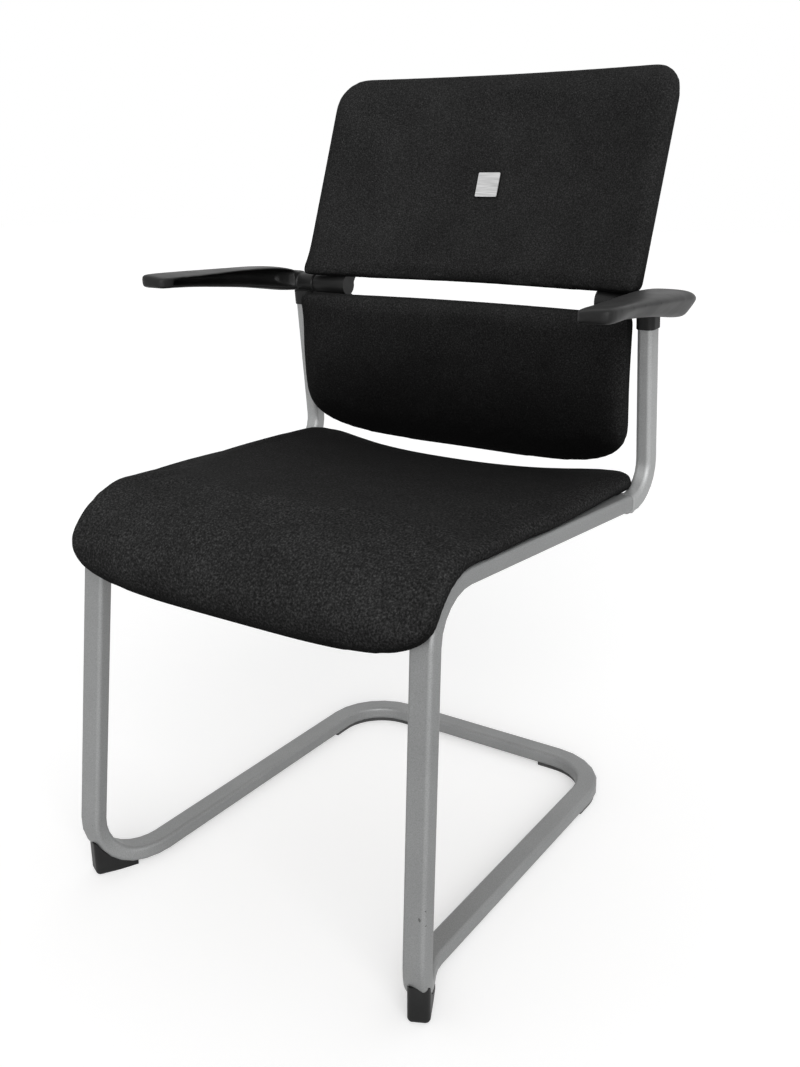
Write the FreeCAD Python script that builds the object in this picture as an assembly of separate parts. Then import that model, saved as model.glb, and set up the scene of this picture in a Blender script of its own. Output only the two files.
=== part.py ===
import FreeCAD, Part
import math
import os
from FreeCAD import Vector

# Cantilever visitor chair, millimetres, Z up, front towards -Y, X to the viewer's right

# Tube of the floor frame and of the uprights
TUBE_WIDE = 28.0
TUBE_THIN = 19.0
TUBE_WALL = 2.0
TUBE_CORNER = 5.0
BEND_STEP = 15.0
UPRIGHT_WIDE = 20.0
UPRIGHT_DEEP = 22.0
UPRIGHT_CORNER = 6.0

# Floor loop
BASE_WIDTH = 428.0
BASE_DEPTH = 554.0
PAD_HEIGHT = 5.5
REAR_BEND = 72.0
KINK_ANGLE = 26.0
KINK_BEND = 60.0
FOOT_BEND = 55.0
FOOT_STRAIGHT = 2.43

# Legs and seat rails
RAIL_HEIGHT = 451.5
LEG_LEAN = 44.3
LEG_IN = 17.0
RAIL_SPREAD = 28.5
RAIL_REACH = 390.7
RAIL_DROP = 10.0
KNEE_BEND = 60.0

# Uprights, set a little outward and down from the rail ends
UPRIGHT_OUT = 1.5
UPRIGHT_DOWN = 2.5
UPRIGHT_STRAIGHT = 11.7
UPRIGHT_BEND = 42.0
UPRIGHT_LEAN = 0.1129
UPRIGHT_TOP_BELOW = 19.0
COLLAR_LENGTH = 9.0
COLLAR_PROUD = 0.7

# Pivot line of the back
LOWER_ABOVE_RAIL = 14.5
PIVOT_BACK = 12.0
PIN_RADIUS = 5.0
FIXED_FIT = 0.02
RUNNING_FIT = 0.08
BUSH_RADIUS = 9.0
BARREL_RADIUS = 13.0
BARREL_LENGTH = 49.0
BARREL_END = 4.0
EYE_THICK = 3.0
EYE_RADIUS = 11.5
SPLIT_GAP = 0.5
HUB_RADIUS = 13.5
HUB_LENGTH = 33.0

# Seat
PAN_THICK = 8.0
PAN_GAP = 1.0
PAN_ROLL = 55.0
PAN_SIDE = 16.0
SEAT_GAP = 1.4
SEAT_EDGE = 20.0
SEAT_REAR_EDGE = 17.0
SEAT_CROWN = 5.0
SEAT_DISH = 25.0
SEAT_PAST_RAIL = 60.0
RECESS_FIT = 0.4
BRACKET_LONG = 34.0
BRACKET_WIDE = 30.0
BRACKET_THICK = 4.0
BRACKET_FROM_KNEE = 112.0
BRACKET_FROM_END = 50.0

# Upper back, measured from the pivot line
UPPER_RISE = 13.5
UPPER_HEIGHT = 249.5
UPPER_SIDE_GAP = 2.8
UPPER_FORWARD = 34.0
UPPER_SLOPE = 0.378
UPPER_HOLLOW_LOW = 40.0
UPPER_HOLLOW_HIGH = 34.0
UPPER_HOLLOW_MID = 8.0
UPPER_FOAM = 29.0
UPPER_CORNER = 36.0

# Lower back, measured from the pivot line
LOWER_DROP = 11.0
LOWER_HEIGHT = 192.0
LOWER_SIDE_GAP = 7.0
LOWER_FORWARD = 43.5
LOWER_SWEEP = 18.0
LOWER_HOLLOW = 24.0
LOWER_FOAM = 27.0

# Shells, flanges and fasteners of both backs
SHELL_THICK = 7.0
SHELL_INSET = 9.0
SHELL_GAP = 0.8
LUG_THICK = 5.0
LUG_WIDE = 30.0
LUG_IN = 1.0
LUG_GAP = 0.5
CRADLE_GAP = 0.7
CRADLE_THICK = 3.2
SCREW_RADIUS = 2.5
SCREW_HEAD = 5.0
SCREW_HEAD_HIGH = 3.0
SCREW_FIT = 0.25
TAG_SIZE = 31.0
TAG_THICK = 1.2
TAG_RISE = 116.0
TAG_PROUD = 0.9

# Arms and sleeves
ARM_LENGTH = 273.0
ARM_PAST_PIVOT = 9.0
SLEEVE_HIGH = 18.0
SLEEVE_WALL = 1.6
SLEEVE_FIT = 0.2

# Glides
GLIDE_WIDE = 24.0
GLIDE_LONG = 50.0
GLIDE_NOSE = 3.0
GLIDE_HIGH = 44.0
REAR_PAD_WIDE = 22.0
REAR_PAD_RUN = 24.0
REAR_PAD_CHAMFER = 1.5

# Derived stations
HALF = BASE_WIDTH / 2 - TUBE_WIDE / 2
FLOOR_Z = PAD_HEIGHT + TUBE_THIN / 2
BAR_Y = BASE_DEPTH - TUBE_WIDE / 2
KINK = math.radians(KINK_ANGLE)
PIVOT_Z = RAIL_HEIGHT + LOWER_ABOVE_RAIL + LOWER_HEIGHT + LOWER_DROP


def unit(v):
    w = Vector(v)
    w.normalize()
    return w


def turned(v, axis, angle):
    return FreeCAD.Rotation(axis, math.degrees(angle)).multVec(v)


def mirrored(shape):
    return shape.mirror(Vector(0, 0, 0), Vector(1, 0, 0))


def line(p, q):
    return Part.LineSegment(p, q).toShape()


def arc(p, m, q):
    return Part.Arc(p, m, q).toShape()


def joined(pieces):
    return pieces[0].fuse(pieces[1:]).removeSplitter()


def one_solid(shape):
    return max(shape.Solids, key=lambda s: s.Volume)


def rounded_wire(centre, wide_dir, thin_dir, wide, thin, radius):
    """Outline of a rectangle with round corners in the plane of two directions."""
    a = wide / 2
    b = thin / 2
    r = radius
    k = r * (1 - math.sqrt(0.5))

    def at(u, v):
        return centre + wide_dir * u + thin_dir * v

    if r <= 0:
        return Part.makePolygon([at(-a, -b), at(a, -b), at(a, b), at(-a, b), at(-a, -b)])
    edges = [
        line(at(-a + r, -b), at(a - r, -b)),
        arc(at(a - r, -b), at(a - k, -b + k), at(a, -b + r)),
        line(at(a, -b + r), at(a, b - r)),
        arc(at(a, b - r), at(a - k, b - k), at(a - r, b)),
        line(at(a - r, b), at(-a + r, b)),
        arc(at(-a + r, b), at(-a + k, b - k), at(-a, b - r)),
        line(at(-a, b - r), at(-a, -b + r)),
        arc(at(-a, -b + r), at(-a + k, -b + k), at(-a + r, -b)),
    ]
    return Part.Wire(edges)


def bend(corner, before, after, radius):
    """Start, end, centre, axis and angle of a bend at a corner between two directions."""
    angle = before.getAngle(after)
    reach = radius * math.tan(angle / 2)
    axis = unit(before.cross(after))
    start = corner - before * reach
    centre = start + axis.cross(before) * radius
    return start, corner + after * reach, centre, axis, angle


def bent(turn, before, across, wide, thin, radius):
    """Tube along one bend, ruled between outlines a few degrees apart."""
    start, end, centre, axis, angle = turn
    steps = max(4, round(math.degrees(angle) / BEND_STEP))
    wires = []
    for i in range(steps + 1):
        a = angle * i / steps
        spot = centre + turned(start - centre, axis, a)
        side = turned(across, axis, a)
        along = turned(before, axis, a)
        wires.append(rounded_wire(spot, side, along.cross(side), wide, thin, radius))
    return Part.makeLoft(wires, True, True)


def prism(points, direction):
    """Straight block over a closed polygon."""
    return Part.Face(Part.makePolygon(points + [points[0]])).extrude(direction)


def rod(x0, x1, y, z, radius):
    """Round bar along X between two stations."""
    return Part.makeCylinder(radius, x1 - x0, Vector(x0, y, z), Vector(1, 0, 0))


# Directions and corner points of the tube's centre line, right half
DIR_BACK = Vector(0, -1, 0)
DIR_FOOT = Vector(math.sin(KINK), -math.cos(KINK), 0)
DIR_LEG = unit(Vector(-LEG_IN, LEG_LEAN, RAIL_HEIGHT - FLOOR_Z))
FOOT_RUN = (FOOT_BEND * math.tan(DIR_FOOT.getAngle(DIR_LEG) / 2) + KINK_BEND * math.tan(KINK / 2)
            + FOOT_STRAIGHT)
FOOT_OUT = FOOT_RUN * math.sin(KINK)
CORNER_KINK = Vector(HALF, FOOT_RUN * math.cos(KINK), FLOOR_Z)
CORNER_FOOT = Vector(HALF + FOOT_OUT, 0, FLOOR_Z)
CORNER_KNEE = Vector(HALF + FOOT_OUT - LEG_IN, LEG_LEAN, RAIL_HEIGHT)
RAIL_END = CORNER_KNEE + Vector(RAIL_SPREAD, RAIL_REACH, -RAIL_DROP)
DIR_RAIL = unit(RAIL_END - CORNER_KNEE)
RAIL_ACROSS = unit(DIR_RAIL.cross(DIR_LEG))
RAIL_DOWN = DIR_RAIL.cross(RAIL_ACROSS)
KNEE = bend(CORNER_KNEE, DIR_LEG, DIR_RAIL, KNEE_BEND)


def foot_sections(wide, thin, radius):
    """Tube outlines through the outward kink and the twisted bend up into the leg."""
    wires = []
    start, end, centre, axis, angle = bend(CORNER_KINK, DIR_BACK, DIR_FOOT, KINK_BEND)
    for f in (0.0, 0.5, 1.0):
        spot = centre + turned(start - centre, axis, angle * f)
        along = turned(DIR_BACK, axis, angle * f)
        across = turned(Vector(1, 0, 0), axis, angle * f)
        wires.append(rounded_wire(spot, across, along.cross(across), wide, thin, radius))
    start, end, centre, axis, angle = bend(CORNER_FOOT, DIR_FOOT, DIR_LEG, FOOT_BEND)
    flat = Vector(math.cos(KINK), math.sin(KINK), 0)
    normal = axis * -1
    twist0 = math.atan2(normal.cross(flat).dot(DIR_FOOT), normal.dot(flat))
    twist1 = math.atan2(normal.cross(RAIL_ACROSS).dot(DIR_LEG), normal.dot(RAIL_ACROSS))
    steps = 7
    for i in range(steps + 1):
        f = i / steps
        ease = f * f * (3 - 2 * f)
        spot = centre + turned(start - centre, axis, angle * f)
        along = turned(DIR_FOOT, axis, angle * f)
        across = turned(normal, along, twist0 + (twist1 - twist0) * ease)
        wires.append(rounded_wire(spot, across, along.cross(across), wide, thin, radius))
    return wires


def frame_half(inset, past_end):
    """Right half of the frame tube, solid, with the outline drawn in by an inset."""
    wide = TUBE_WIDE - 2 * inset
    thin = TUBE_THIN - 2 * inset
    radius = TUBE_CORNER if inset == 0 else 0.0
    up = Vector(0, 0, 1)
    mid = Vector(0, BAR_Y, FLOOR_Z)
    turn_x = HALF - REAR_BEND
    bar = Part.Face(rounded_wire(mid, Vector(0, 1, 0), up, wide, thin, radius))
    pieces = [bar.extrude(Vector(turn_x, 0, 0))]
    corner = bend(Vector(HALF, BAR_Y, FLOOR_Z), Vector(1, 0, 0), DIR_BACK, REAR_BEND)
    pieces.append(bent(corner, Vector(1, 0, 0), Vector(0, 1, 0), wide, thin, radius))
    feet = foot_sections(wide, thin, radius)
    rail_y = BAR_Y - REAR_BEND
    kink_y = bend(CORNER_KINK, DIR_BACK, DIR_FOOT, KINK_BEND)[0].y
    side = Part.Face(rounded_wire(Vector(HALF, rail_y, FLOOR_Z), Vector(1, 0, 0), up, wide, thin, radius))
    pieces.append(side.extrude(Vector(0, kink_y - rail_y, 0)))
    pieces.append(Part.makeLoft(feet, True, True))
    leg_start = bend(CORNER_FOOT, DIR_FOOT, DIR_LEG, FOOT_BEND)[1]
    start, end, centre, axis, angle = KNEE
    leg_thin = DIR_LEG.cross(RAIL_ACROSS)
    leg = Part.Face(rounded_wire(leg_start, RAIL_ACROSS, leg_thin, wide, thin, radius))
    pieces.append(leg.extrude(start - leg_start))
    pieces.append(bent(KNEE, DIR_LEG, RAIL_ACROSS, wide, thin, radius))
    rail = Part.Face(rounded_wire(end, RAIL_ACROSS, RAIL_DOWN, wide, thin, radius))
    pieces.append(rail.extrude(RAIL_END - end + DIR_RAIL * past_end))
    return joined(pieces)


def make_frame():
    outer = frame_half(0, 0)
    inner = frame_half(TUBE_WALL, 2.0)
    outer = joined([outer, mirrored(outer)])
    inner = joined([inner, mirrored(inner)])
    return outer, one_solid(outer.cut(inner))


# Upright centre line
UP_START = RAIL_END + RAIL_ACROSS * UPRIGHT_OUT + RAIL_DOWN * UPRIGHT_DOWN
DIR_UP = unit(Vector(-0.008, -UPRIGHT_LEAN, 1.0))
UPRIGHT_RUN = UPRIGHT_BEND * math.tan(DIR_RAIL.getAngle(DIR_UP) / 2) + UPRIGHT_STRAIGHT
UP_CORNER = UP_START + DIR_RAIL * UPRIGHT_RUN
UP_TOP = UP_CORNER + DIR_UP * ((PIVOT_Z - UPRIGHT_TOP_BELOW - UP_CORNER.z) / DIR_UP.z)
UP_BEND = bend(UP_CORNER, DIR_RAIL, DIR_UP, UPRIGHT_BEND)
UP_ACROSS = UP_BEND[3]
UP_INNER = UP_CORNER.x - UPRIGHT_WIDE / 2
PIVOT_Y = UP_CORNER.y - UPRIGHT_LEAN * (PIVOT_Z - UP_CORNER.z) + PIVOT_BACK
UPPER_HALF = UP_INNER - UPPER_SIDE_GAP
LOWER_HALF = UP_INNER - LOWER_SIDE_GAP
ARM_REAR = PIVOT_Y + ARM_PAST_PIVOT
ARM_FRONT = ARM_REAR - ARM_LENGTH
SEAT_REAR = RAIL_END.y + SEAT_PAST_RAIL


def upright_solid(inset):
    """Solid of the upright's bent tube, shortened at both ends by the inset."""
    wide = UPRIGHT_WIDE - 2 * inset
    deep = UPRIGHT_DEEP - 2 * inset
    radius = UPRIGHT_CORNER if inset == 0 else 0.0
    start, end, centre, axis, angle = UP_BEND
    first = UP_START + DIR_RAIL * inset
    last = UP_TOP - DIR_UP * inset
    low = DIR_RAIL.cross(UP_ACROSS)
    pieces = []
    face = Part.Face(rounded_wire(first, UP_ACROSS, low, wide, deep, radius))
    pieces.append(face.extrude(start - first))
    pieces.append(bent(UP_BEND, DIR_RAIL, UP_ACROSS, wide, deep, radius))
    face = Part.Face(rounded_wire(end, UP_ACROSS, DIR_UP.cross(UP_ACROSS), wide, deep, radius))
    pieces.append(face.extrude(last - end))
    return joined(pieces)


def make_upright():
    """Upright tube closed at both ends, with the weld that tapers from rail to tube."""
    low = DIR_RAIL.cross(UP_ACROSS)
    big = rounded_wire(RAIL_END, RAIL_ACROSS, RAIL_DOWN, TUBE_WIDE + COLLAR_PROUD,
                       TUBE_THIN + COLLAR_PROUD, TUBE_CORNER)
    small = rounded_wire(UP_START + DIR_RAIL * COLLAR_LENGTH, UP_ACROSS, low,
                         UPRIGHT_WIDE + 2 * COLLAR_PROUD, UPRIGHT_DEEP + 2 * COLLAR_PROUD, UPRIGHT_CORNER)
    collar = Part.makeLoft([big, small], True, True)
    tube = joined([upright_solid(0), collar])
    return one_solid(tube.cut(upright_solid(TUBE_WALL)))


# Seat, drawn on the top line of the rails
RAIL_SLOPE = -RAIL_DROP / RAIL_REACH
KNEE_Y = KNEE[2].y
KNEE_Z = KNEE[2].z
SEAT_NORMAL = unit(Vector(0, -RAIL_SLOPE, 1.0))
RAIL_TOP_RISE = TUBE_THIN / 2 / SEAT_NORMAL.z
FLAT_FRONT = KNEE[1].y


def rail_top(y):
    return RAIL_HEIGHT + (y - LEG_LEAN) * RAIL_SLOPE + RAIL_TOP_RISE


def rail_middle(y):
    """Distance of the rail's centre line from the middle plane."""
    return CORNER_KNEE.x + RAIL_SPREAD * (y - LEG_LEAN) / RAIL_REACH


def on_seat(y, lift):
    return Vector(0, y, rail_top(y)) + SEAT_NORMAL * lift


def on_knee(angle, lift):
    radius = KNEE_BEND + TUBE_THIN / 2 + lift
    a = math.radians(angle)
    return Vector(0, KNEE_Y + radius * math.cos(a), KNEE_Z + radius * math.sin(a))


KNEE_FROM = math.degrees(math.atan2(SEAT_NORMAL.z, SEAT_NORMAL.y))


def dish(y):
    """Depth of the hollow across the seat, growing from the knee bend to the rear edge."""
    s = (y - FLAT_FRONT) / (SEAT_REAR - FLAT_FRONT)
    return SEAT_DISH * max(s, 0.0) ** 1.5


def drop(x, sag):
    """How far the hollow lies below the rails at a distance from the middle."""
    return sag * max(1 - (x / (UP_INNER - 4.0)) ** 2, 0.0)


def knee_normal(turn):
    a = math.radians(KNEE_FROM + turn)
    return Vector(0, math.cos(a), math.sin(a))


def seat_half(y):
    """Half width of the cushion along the rails."""
    front = rail_middle(KNEE_Y) + TUBE_WIDE / 2 - 1.5
    rear = UP_INNER + 1.5
    return front + (rear - front) * (y - FLAT_FRONT) / (SEAT_REAR - 46.0 - FLAT_FRONT)


def pan_section(foot, normal, half, low, high, sag):
    """Board outline: two hollowed faces joined by straight sides."""
    across = Vector(1, 0, 0)
    side = drop(half, sag)

    def at(u, n):
        return foot + across * u + normal * n

    edges = [
        arc(at(-half, low - side), at(0, low - sag), at(half, low - side)),
        line(at(half, low - side), at(half, high - side)),
        arc(at(half, high - side), at(0, high - sag), at(-half, high - side)),
        line(at(-half, high - side), at(-half, low - side)),
    ]
    return Part.Wire(edges)


def make_pan(grow):
    """Hollowed board over the rails, its front rolled over the knee bend, grown by a clearance."""
    low = PAN_GAP - grow
    high = PAN_GAP + PAN_THICK + grow
    rear = SEAT_REAR - 22.0
    wires = []
    rows = ((-grow, 46.0), (4.0, 34.0), (14.0, 18.0), (32.0, 5.0), (58.0, 0.0))
    for depth, drawn in rows:
        y = rear - depth
        half = UP_INNER - PAN_SIDE - drawn + grow
        wires.append(pan_section(on_seat(y, 0), SEAT_NORMAL, half, low, high, dish(y) + 0.4))
    for f in (0.25, 0.5, 0.75, 0.97):
        y = rear - 58.0 + (FLAT_FRONT - rear + 58.0) * f
        half = UP_INNER - PAN_SIDE + (seat_half(FLAT_FRONT) - UP_INNER) * f + grow
        wires.append(pan_section(on_seat(y, 0), SEAT_NORMAL, half, low, high, dish(y) + 0.4))
    for turn in (PAN_ROLL * 0.33, PAN_ROLL * 0.66, PAN_ROLL + grow):
        half = seat_half(FLAT_FRONT) - PAN_SIDE + grow
        wires.append(pan_section(on_knee(KNEE_FROM + turn, 0), knee_normal(turn), half, low, high, 0.4))
    return Part.makeLoft(wires, True, True)


def pillow_section(foot, normal, half, edge, crown, sag):
    """Cushion outline: hollowed below, bulged sides, top that follows the hollow with its crown."""
    across = Vector(1, 0, 0)

    def at(u, n):
        return foot + across * u + normal * n

    low = half - 3.0
    top = half - 5.0
    foot_n = -drop(low, sag)
    mid_n = edge * 0.52 - drop(half, sag)
    top_n = edge - drop(top, sag)
    edges = [
        arc(at(-low, foot_n), at(0, -sag), at(low, foot_n)),
        arc(at(low, foot_n), at(half, mid_n), at(top, top_n)),
        arc(at(top, top_n), at(0, edge + crown - sag), at(-top, top_n)),
        arc(at(-top, top_n), at(-half, mid_n), at(-low, foot_n)),
    ]
    return Part.Wire(edges)


def make_seat_cushion():
    """Waterfall cushion lofted from the rear edge over the knee bend to the apron."""
    rear_half = UP_INNER - 2.5
    rear_rows = (
        (0.0, 52.0, 0.45, 0.0), (3.0, 34.0, 0.70, 1.0), (11.0, 19.0, 0.90, 2.0),
        (26.0, 6.5, 0.98, 3.5), (46.0, 0.0, 1.00, SEAT_CROWN),
    )
    wires = []
    for depth, drawn, thick, crown in rear_rows:
        y = SEAT_REAR - depth
        wires.append(pillow_section(on_seat(y, SEAT_GAP), SEAT_NORMAL, rear_half - drawn,
                                    SEAT_REAR_EDGE * thick, crown + 0.2, dish(y) + 0.4))
    for f in (0.24, 0.48, 0.72, 0.96):
        y = SEAT_REAR - 46.0 + (FLAT_FRONT - SEAT_REAR + 46.0) * f
        edge = SEAT_REAR_EDGE + (SEAT_EDGE + 1.5 - SEAT_REAR_EDGE) * f
        wires.append(pillow_section(on_seat(y, SEAT_GAP), SEAT_NORMAL, seat_half(y), edge,
                                    SEAT_CROWN, dish(y) + 0.4))
    front_half = seat_half(FLAT_FRONT)
    knee_rows = (
        (12.0, 0.0, 1.10, 5.0), (27.0, 0.0, 1.10, 4.5), (42.0, 0.3, 1.08, 4.0), (56.0, 1.2, 1.07, 3.0),
        (67.0, 4.0, 1.05, 2.6), (75.5, 10.0, 1.02, 2.2), (82.0, 21.0, 0.97, 1.8), (87.0, 38.0, 0.88, 1.4),
        (90.5, 58.0, 0.76, 1.1), (93.0, 84.0, 0.62, 0.9), (94.5, 118.0, 0.48, 0.8),
    )
    for turn, drawn, thick, crown in knee_rows:
        wires.append(pillow_section(on_knee(KNEE_FROM + turn, SEAT_GAP), knee_normal(turn),
                                    front_half - drawn, SEAT_EDGE * thick, crown, 0.4))
    body = Part.makeLoft(wires, True, True)
    return one_solid(body.cut(make_pan(RECESS_FIT)))


def tab_point(y, x, lift):
    """Point under the hollowed board at a station along the rail."""
    return on_seat(y, PAN_GAP - 1.2 - drop(x, dish(y)) - lift) + Vector(x, 0, 0)


def tab_ends(y):
    """Inner end and rail end of a tab at a station along the rail."""
    near = rail_middle(y)
    return near - TUBE_WIDE / 2 - BRACKET_LONG, near


SEAT_ALONG = unit(Vector(0, SEAT_NORMAL.z, -SEAT_NORMAL.y))


def make_bracket(y, frame_outer):
    """Tab from a rail's inner side, lying under the hollowed board."""
    far, near = tab_ends(y)
    step = SEAT_ALONG * (BRACKET_WIDE / 2)
    points = [tab_point(y, far, 0) - step, tab_point(y, near, 0) - step,
              tab_point(y, near, BRACKET_THICK) - step, tab_point(y, far, BRACKET_THICK) - step]
    return one_solid(prism(points, SEAT_ALONG * BRACKET_WIDE).cut(frame_outer))


def tab_screw(y):
    """Seat of a tab's screw on the underside, and the direction square to the tab."""
    far, near = tab_ends(y)
    low = tab_point(y, far, BRACKET_THICK)
    run = tab_point(y, near, BRACKET_THICK) - low
    return low + run * 0.32, unit(run.cross(SEAT_ALONG))


# Backs, drawn in level slices
UPPER_Z = PIVOT_Z + UPPER_RISE
LOWER_Z = PIVOT_Z - LOWER_DROP


def upper_line(x, z):
    """Front face of the upper back at a distance from the middle and a height."""
    f = (z - UPPER_Z) / UPPER_HEIGHT
    hollow = UPPER_HOLLOW_LOW + (UPPER_HOLLOW_HIGH - UPPER_HOLLOW_LOW) * f + 4 * UPPER_HOLLOW_MID * f * (1 - f)
    side = PIVOT_Y - UPPER_FORWARD + UPPER_SLOPE * (z - UPPER_Z)
    return side + hollow * (1 - (x / UPPER_HALF) ** 2)


def lower_line(x, z):
    """Front face of the lower back at a distance from the middle and a height."""
    f = max((LOWER_Z - z) / LOWER_HEIGHT - 0.3, 0.0) / 0.7
    side = PIVOT_Y - LOWER_FORWARD + LOWER_SWEEP * f * f
    return side + LOWER_HOLLOW * (1 - (x / LOWER_HALF) ** 2)


def back_slice(face_line, z, half, front, rear, soft):
    """Level outline between two offsets behind the front face, with bulged or straight ends."""
    fore = half - 7.0 if soft else half
    aft = half - 3.0 if soft else half

    def at(x, offset):
        return Vector(x, face_line(x, z) + offset, z)

    edges = [arc(at(-fore, front), at(0, front), at(fore, front))]
    if soft:
        mid = front + (rear - front) * 0.55
        edges.append(arc(at(fore, front), at(half, mid), at(aft, rear)))
        edges.append(arc(at(aft, rear), at(0, rear), at(-aft, rear)))
        edges.append(arc(at(-aft, rear), at(-half, mid), at(-fore, front)))
    else:
        edges.append(line(at(fore, front), at(aft, rear)))
        edges.append(arc(at(aft, rear), at(0, rear), at(-aft, rear)))
        edges.append(line(at(-aft, rear), at(-fore, front)))
    return Part.Wire(edges)


def corner_draw(radius, depth):
    """How far a round corner of one radius draws the side in at a depth from the end."""
    if depth >= radius:
        return 0.0
    return radius - math.sqrt(radius * radius - (radius - depth) ** 2)


def upper_stations(inset):
    """Heights and half widths of the upper back's slices, drawn in all round."""
    rows = []
    low = UPPER_Z + inset
    high = UPPER_Z + UPPER_HEIGHT - inset
    radius = UPPER_CORNER - inset * 0.6
    half = UPPER_HALF - inset
    for depth, drawn in ((0.0, 17.0), (3.0, 8.5), (9.0, 2.6), (22.0, 0.2)):
        rows.append((low + depth, half - drawn))
    for f in (0.27, 0.50, 0.72):
        rows.append((low + (high - low) * f, half + 0.4))
    for depth in (radius, radius * 0.55, radius * 0.25, radius * 0.07, 0.0):
        rows.append((high - depth, half - corner_draw(radius, depth) * 0.86))
    return rows


def lower_stations(inset):
    """Heights and half widths of the lower back's slices, drawn in all round."""
    rows = []
    high = LOWER_Z - inset
    low = LOWER_Z - LOWER_HEIGHT + inset
    half = LOWER_HALF - inset
    shares = ((1.0, 0.344), (4.0, 0.500), (9.0, 0.655), (15.0, 0.779), (23.0, 0.880), (36.0, 0.955),
              (58.0, 0.994), (84.0, 1.0))
    for rise, share in shares:
        rows.append((low + rise, half * share))
    span = high - rows[-1][0]
    for f, drawn in ((0.50, 0.0), (0.12, 0.3), (0.06, 1.5), (0.022, 3.8), (0.0, 7.0)):
        rows.append((high - span * f, half - drawn))
    return rows


def end_thickness(foam, i, count):
    """Foam thickness of a slice, thinned at the first and last ones for the round edges."""
    near = min(i, count - 1 - i)
    share = (0.42, 0.80, 0.96)
    return foam * (share[near] if near < 3 else 1.0)


def make_back_cushion(face_line, stations, foam):
    wires = []
    count = len(stations)
    for i, (z, half) in enumerate(stations):
        lost = foam - end_thickness(foam, i, count)
        wires.append(back_slice(face_line, z, half, lost * 0.62, foam - lost * 0.38, True))
    return Part.makeLoft(wires, True, True)


def make_back_shell(face_line, stations, foam):
    wires = []
    for z, half in stations:
        wires.append(back_slice(face_line, z, half, foam + SHELL_GAP, foam + SHELL_GAP + SHELL_THICK, False))
    return Part.makeLoft(wires, True, True)


# Pivot parts, right side
EYE_X = UP_INNER - 9.4
BARREL_OUT = EYE_X - SPLIT_GAP
HUB_X = EYE_X + EYE_THICK + SPLIT_GAP
BARREL_IN = BARREL_OUT - BARREL_LENGTH
LUG_X = BARREL_IN + LUG_IN


def shell_back(face_line, foam, x, z):
    return face_line(x, z) + foam + SHELL_GAP + SHELL_THICK


def make_upper_hinge(shell, cushion):
    """Barrel on the pivot line with a lug that climbs behind the upper shell."""
    barrel = rod(BARREL_IN, BARREL_OUT, PIVOT_Y, PIVOT_Z, BARREL_RADIUS)
    mid = LUG_X + LUG_WIDE / 2
    z0 = UPPER_Z + 10.0
    z1 = UPPER_Z + 62.0
    y0 = shell_back(upper_line, UPPER_FOAM, mid, z0)
    y1 = shell_back(upper_line, UPPER_FOAM, mid, z1)
    sink = 5.5
    out = LUG_THICK
    points = [
        Vector(LUG_X, PIVOT_Y + 3.0, PIVOT_Z + BARREL_RADIUS - 5.0),
        Vector(LUG_X, y0 - 7.0, UPPER_Z + 0.5),
        Vector(LUG_X, y0 - sink, z0),
        Vector(LUG_X, y1 - sink, z1),
        Vector(LUG_X, y1 + out, z1),
        Vector(LUG_X, y0 + out, z0 - 6.0),
        Vector(LUG_X, PIVOT_Y + BARREL_RADIUS - 2.0, PIVOT_Z - 1.0),
    ]
    room = cushion.translated(Vector(0, LUG_GAP, 0))
    lug = one_solid(prism(points, Vector(LUG_WIDE, 0, 0)).cut(shell).cut(room))
    block = joined([barrel, lug])
    bore = rod(BARREL_IN + BARREL_END, BARREL_OUT + 1, PIVOT_Y, PIVOT_Z, BUSH_RADIUS + RUNNING_FIT)
    return one_solid(block.cut(bore))


def make_lower_hinge(shell, cushion):
    """Eye on the pin, cradle under the barrel and flange behind the lower shell."""
    eye = rod(EYE_X, EYE_X + EYE_THICK, PIVOT_Y, PIVOT_Z, EYE_RADIUS)
    x0 = LUG_X
    x1 = EYE_X + EYE_THICK
    mid = LUG_X + LUG_WIDE / 2
    z0 = LOWER_Z - 12.0
    z1 = LOWER_Z - 62.0
    y0 = shell_back(lower_line, LOWER_FOAM, mid, z0)
    y1 = shell_back(lower_line, LOWER_FOAM, mid, z1)
    cradle_in = BARREL_RADIUS + CRADLE_GAP
    cradle_out = cradle_in + CRADLE_THICK
    flange_points = [
        Vector(x0, y0 - 2.0, PIVOT_Z - cradle_in * 0.95),
        Vector(x0, y0 - 2.0, z0 - 3.0),
        Vector(x0, y1 - 2.0, z1),
        Vector(x0, y1 + LUG_THICK, z1),
        Vector(x0, y0 + LUG_THICK, z0 - 4.0),
        Vector(x0, PIVOT_Y + cradle_out * 0.60, PIVOT_Z - cradle_in * 0.90),
    ]
    room = cushion.translated(Vector(0, LUG_GAP, 0))
    flange = one_solid(prism(flange_points, Vector(LUG_WIDE, 0, 0)).cut(shell).cut(room))
    ring = rod(x0 + 4.0, x1, PIVOT_Y, PIVOT_Z, cradle_out)
    wedge_far = 40.0
    sector = [Vector(x0, PIVOT_Y, PIVOT_Z)]
    for angle in (-128.0, -85.0, -36.0):
        a = math.radians(angle)
        sector.append(Vector(x0, PIVOT_Y + wedge_far * math.cos(a), PIVOT_Z + wedge_far * math.sin(a)))
    cradle = ring.common(prism(sector, Vector(x1 - x0, 0, 0)))
    block = joined([one_solid(cradle.cut(room)), flange, eye])
    hollow = rod(x0 - 1, EYE_X, PIVOT_Y, PIVOT_Z, cradle_in)
    bore = rod(EYE_X - 1, x1 + 1, PIVOT_Y, PIVOT_Z, PIN_RADIUS + RUNNING_FIT)
    return one_solid(block.cut(hollow).cut(bore))


def make_pin():
    return rod(BARREL_IN + BARREL_END + 3.0, HUB_X + HUB_LENGTH - 6.0, PIVOT_Y, PIVOT_Z, PIN_RADIUS)


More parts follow.
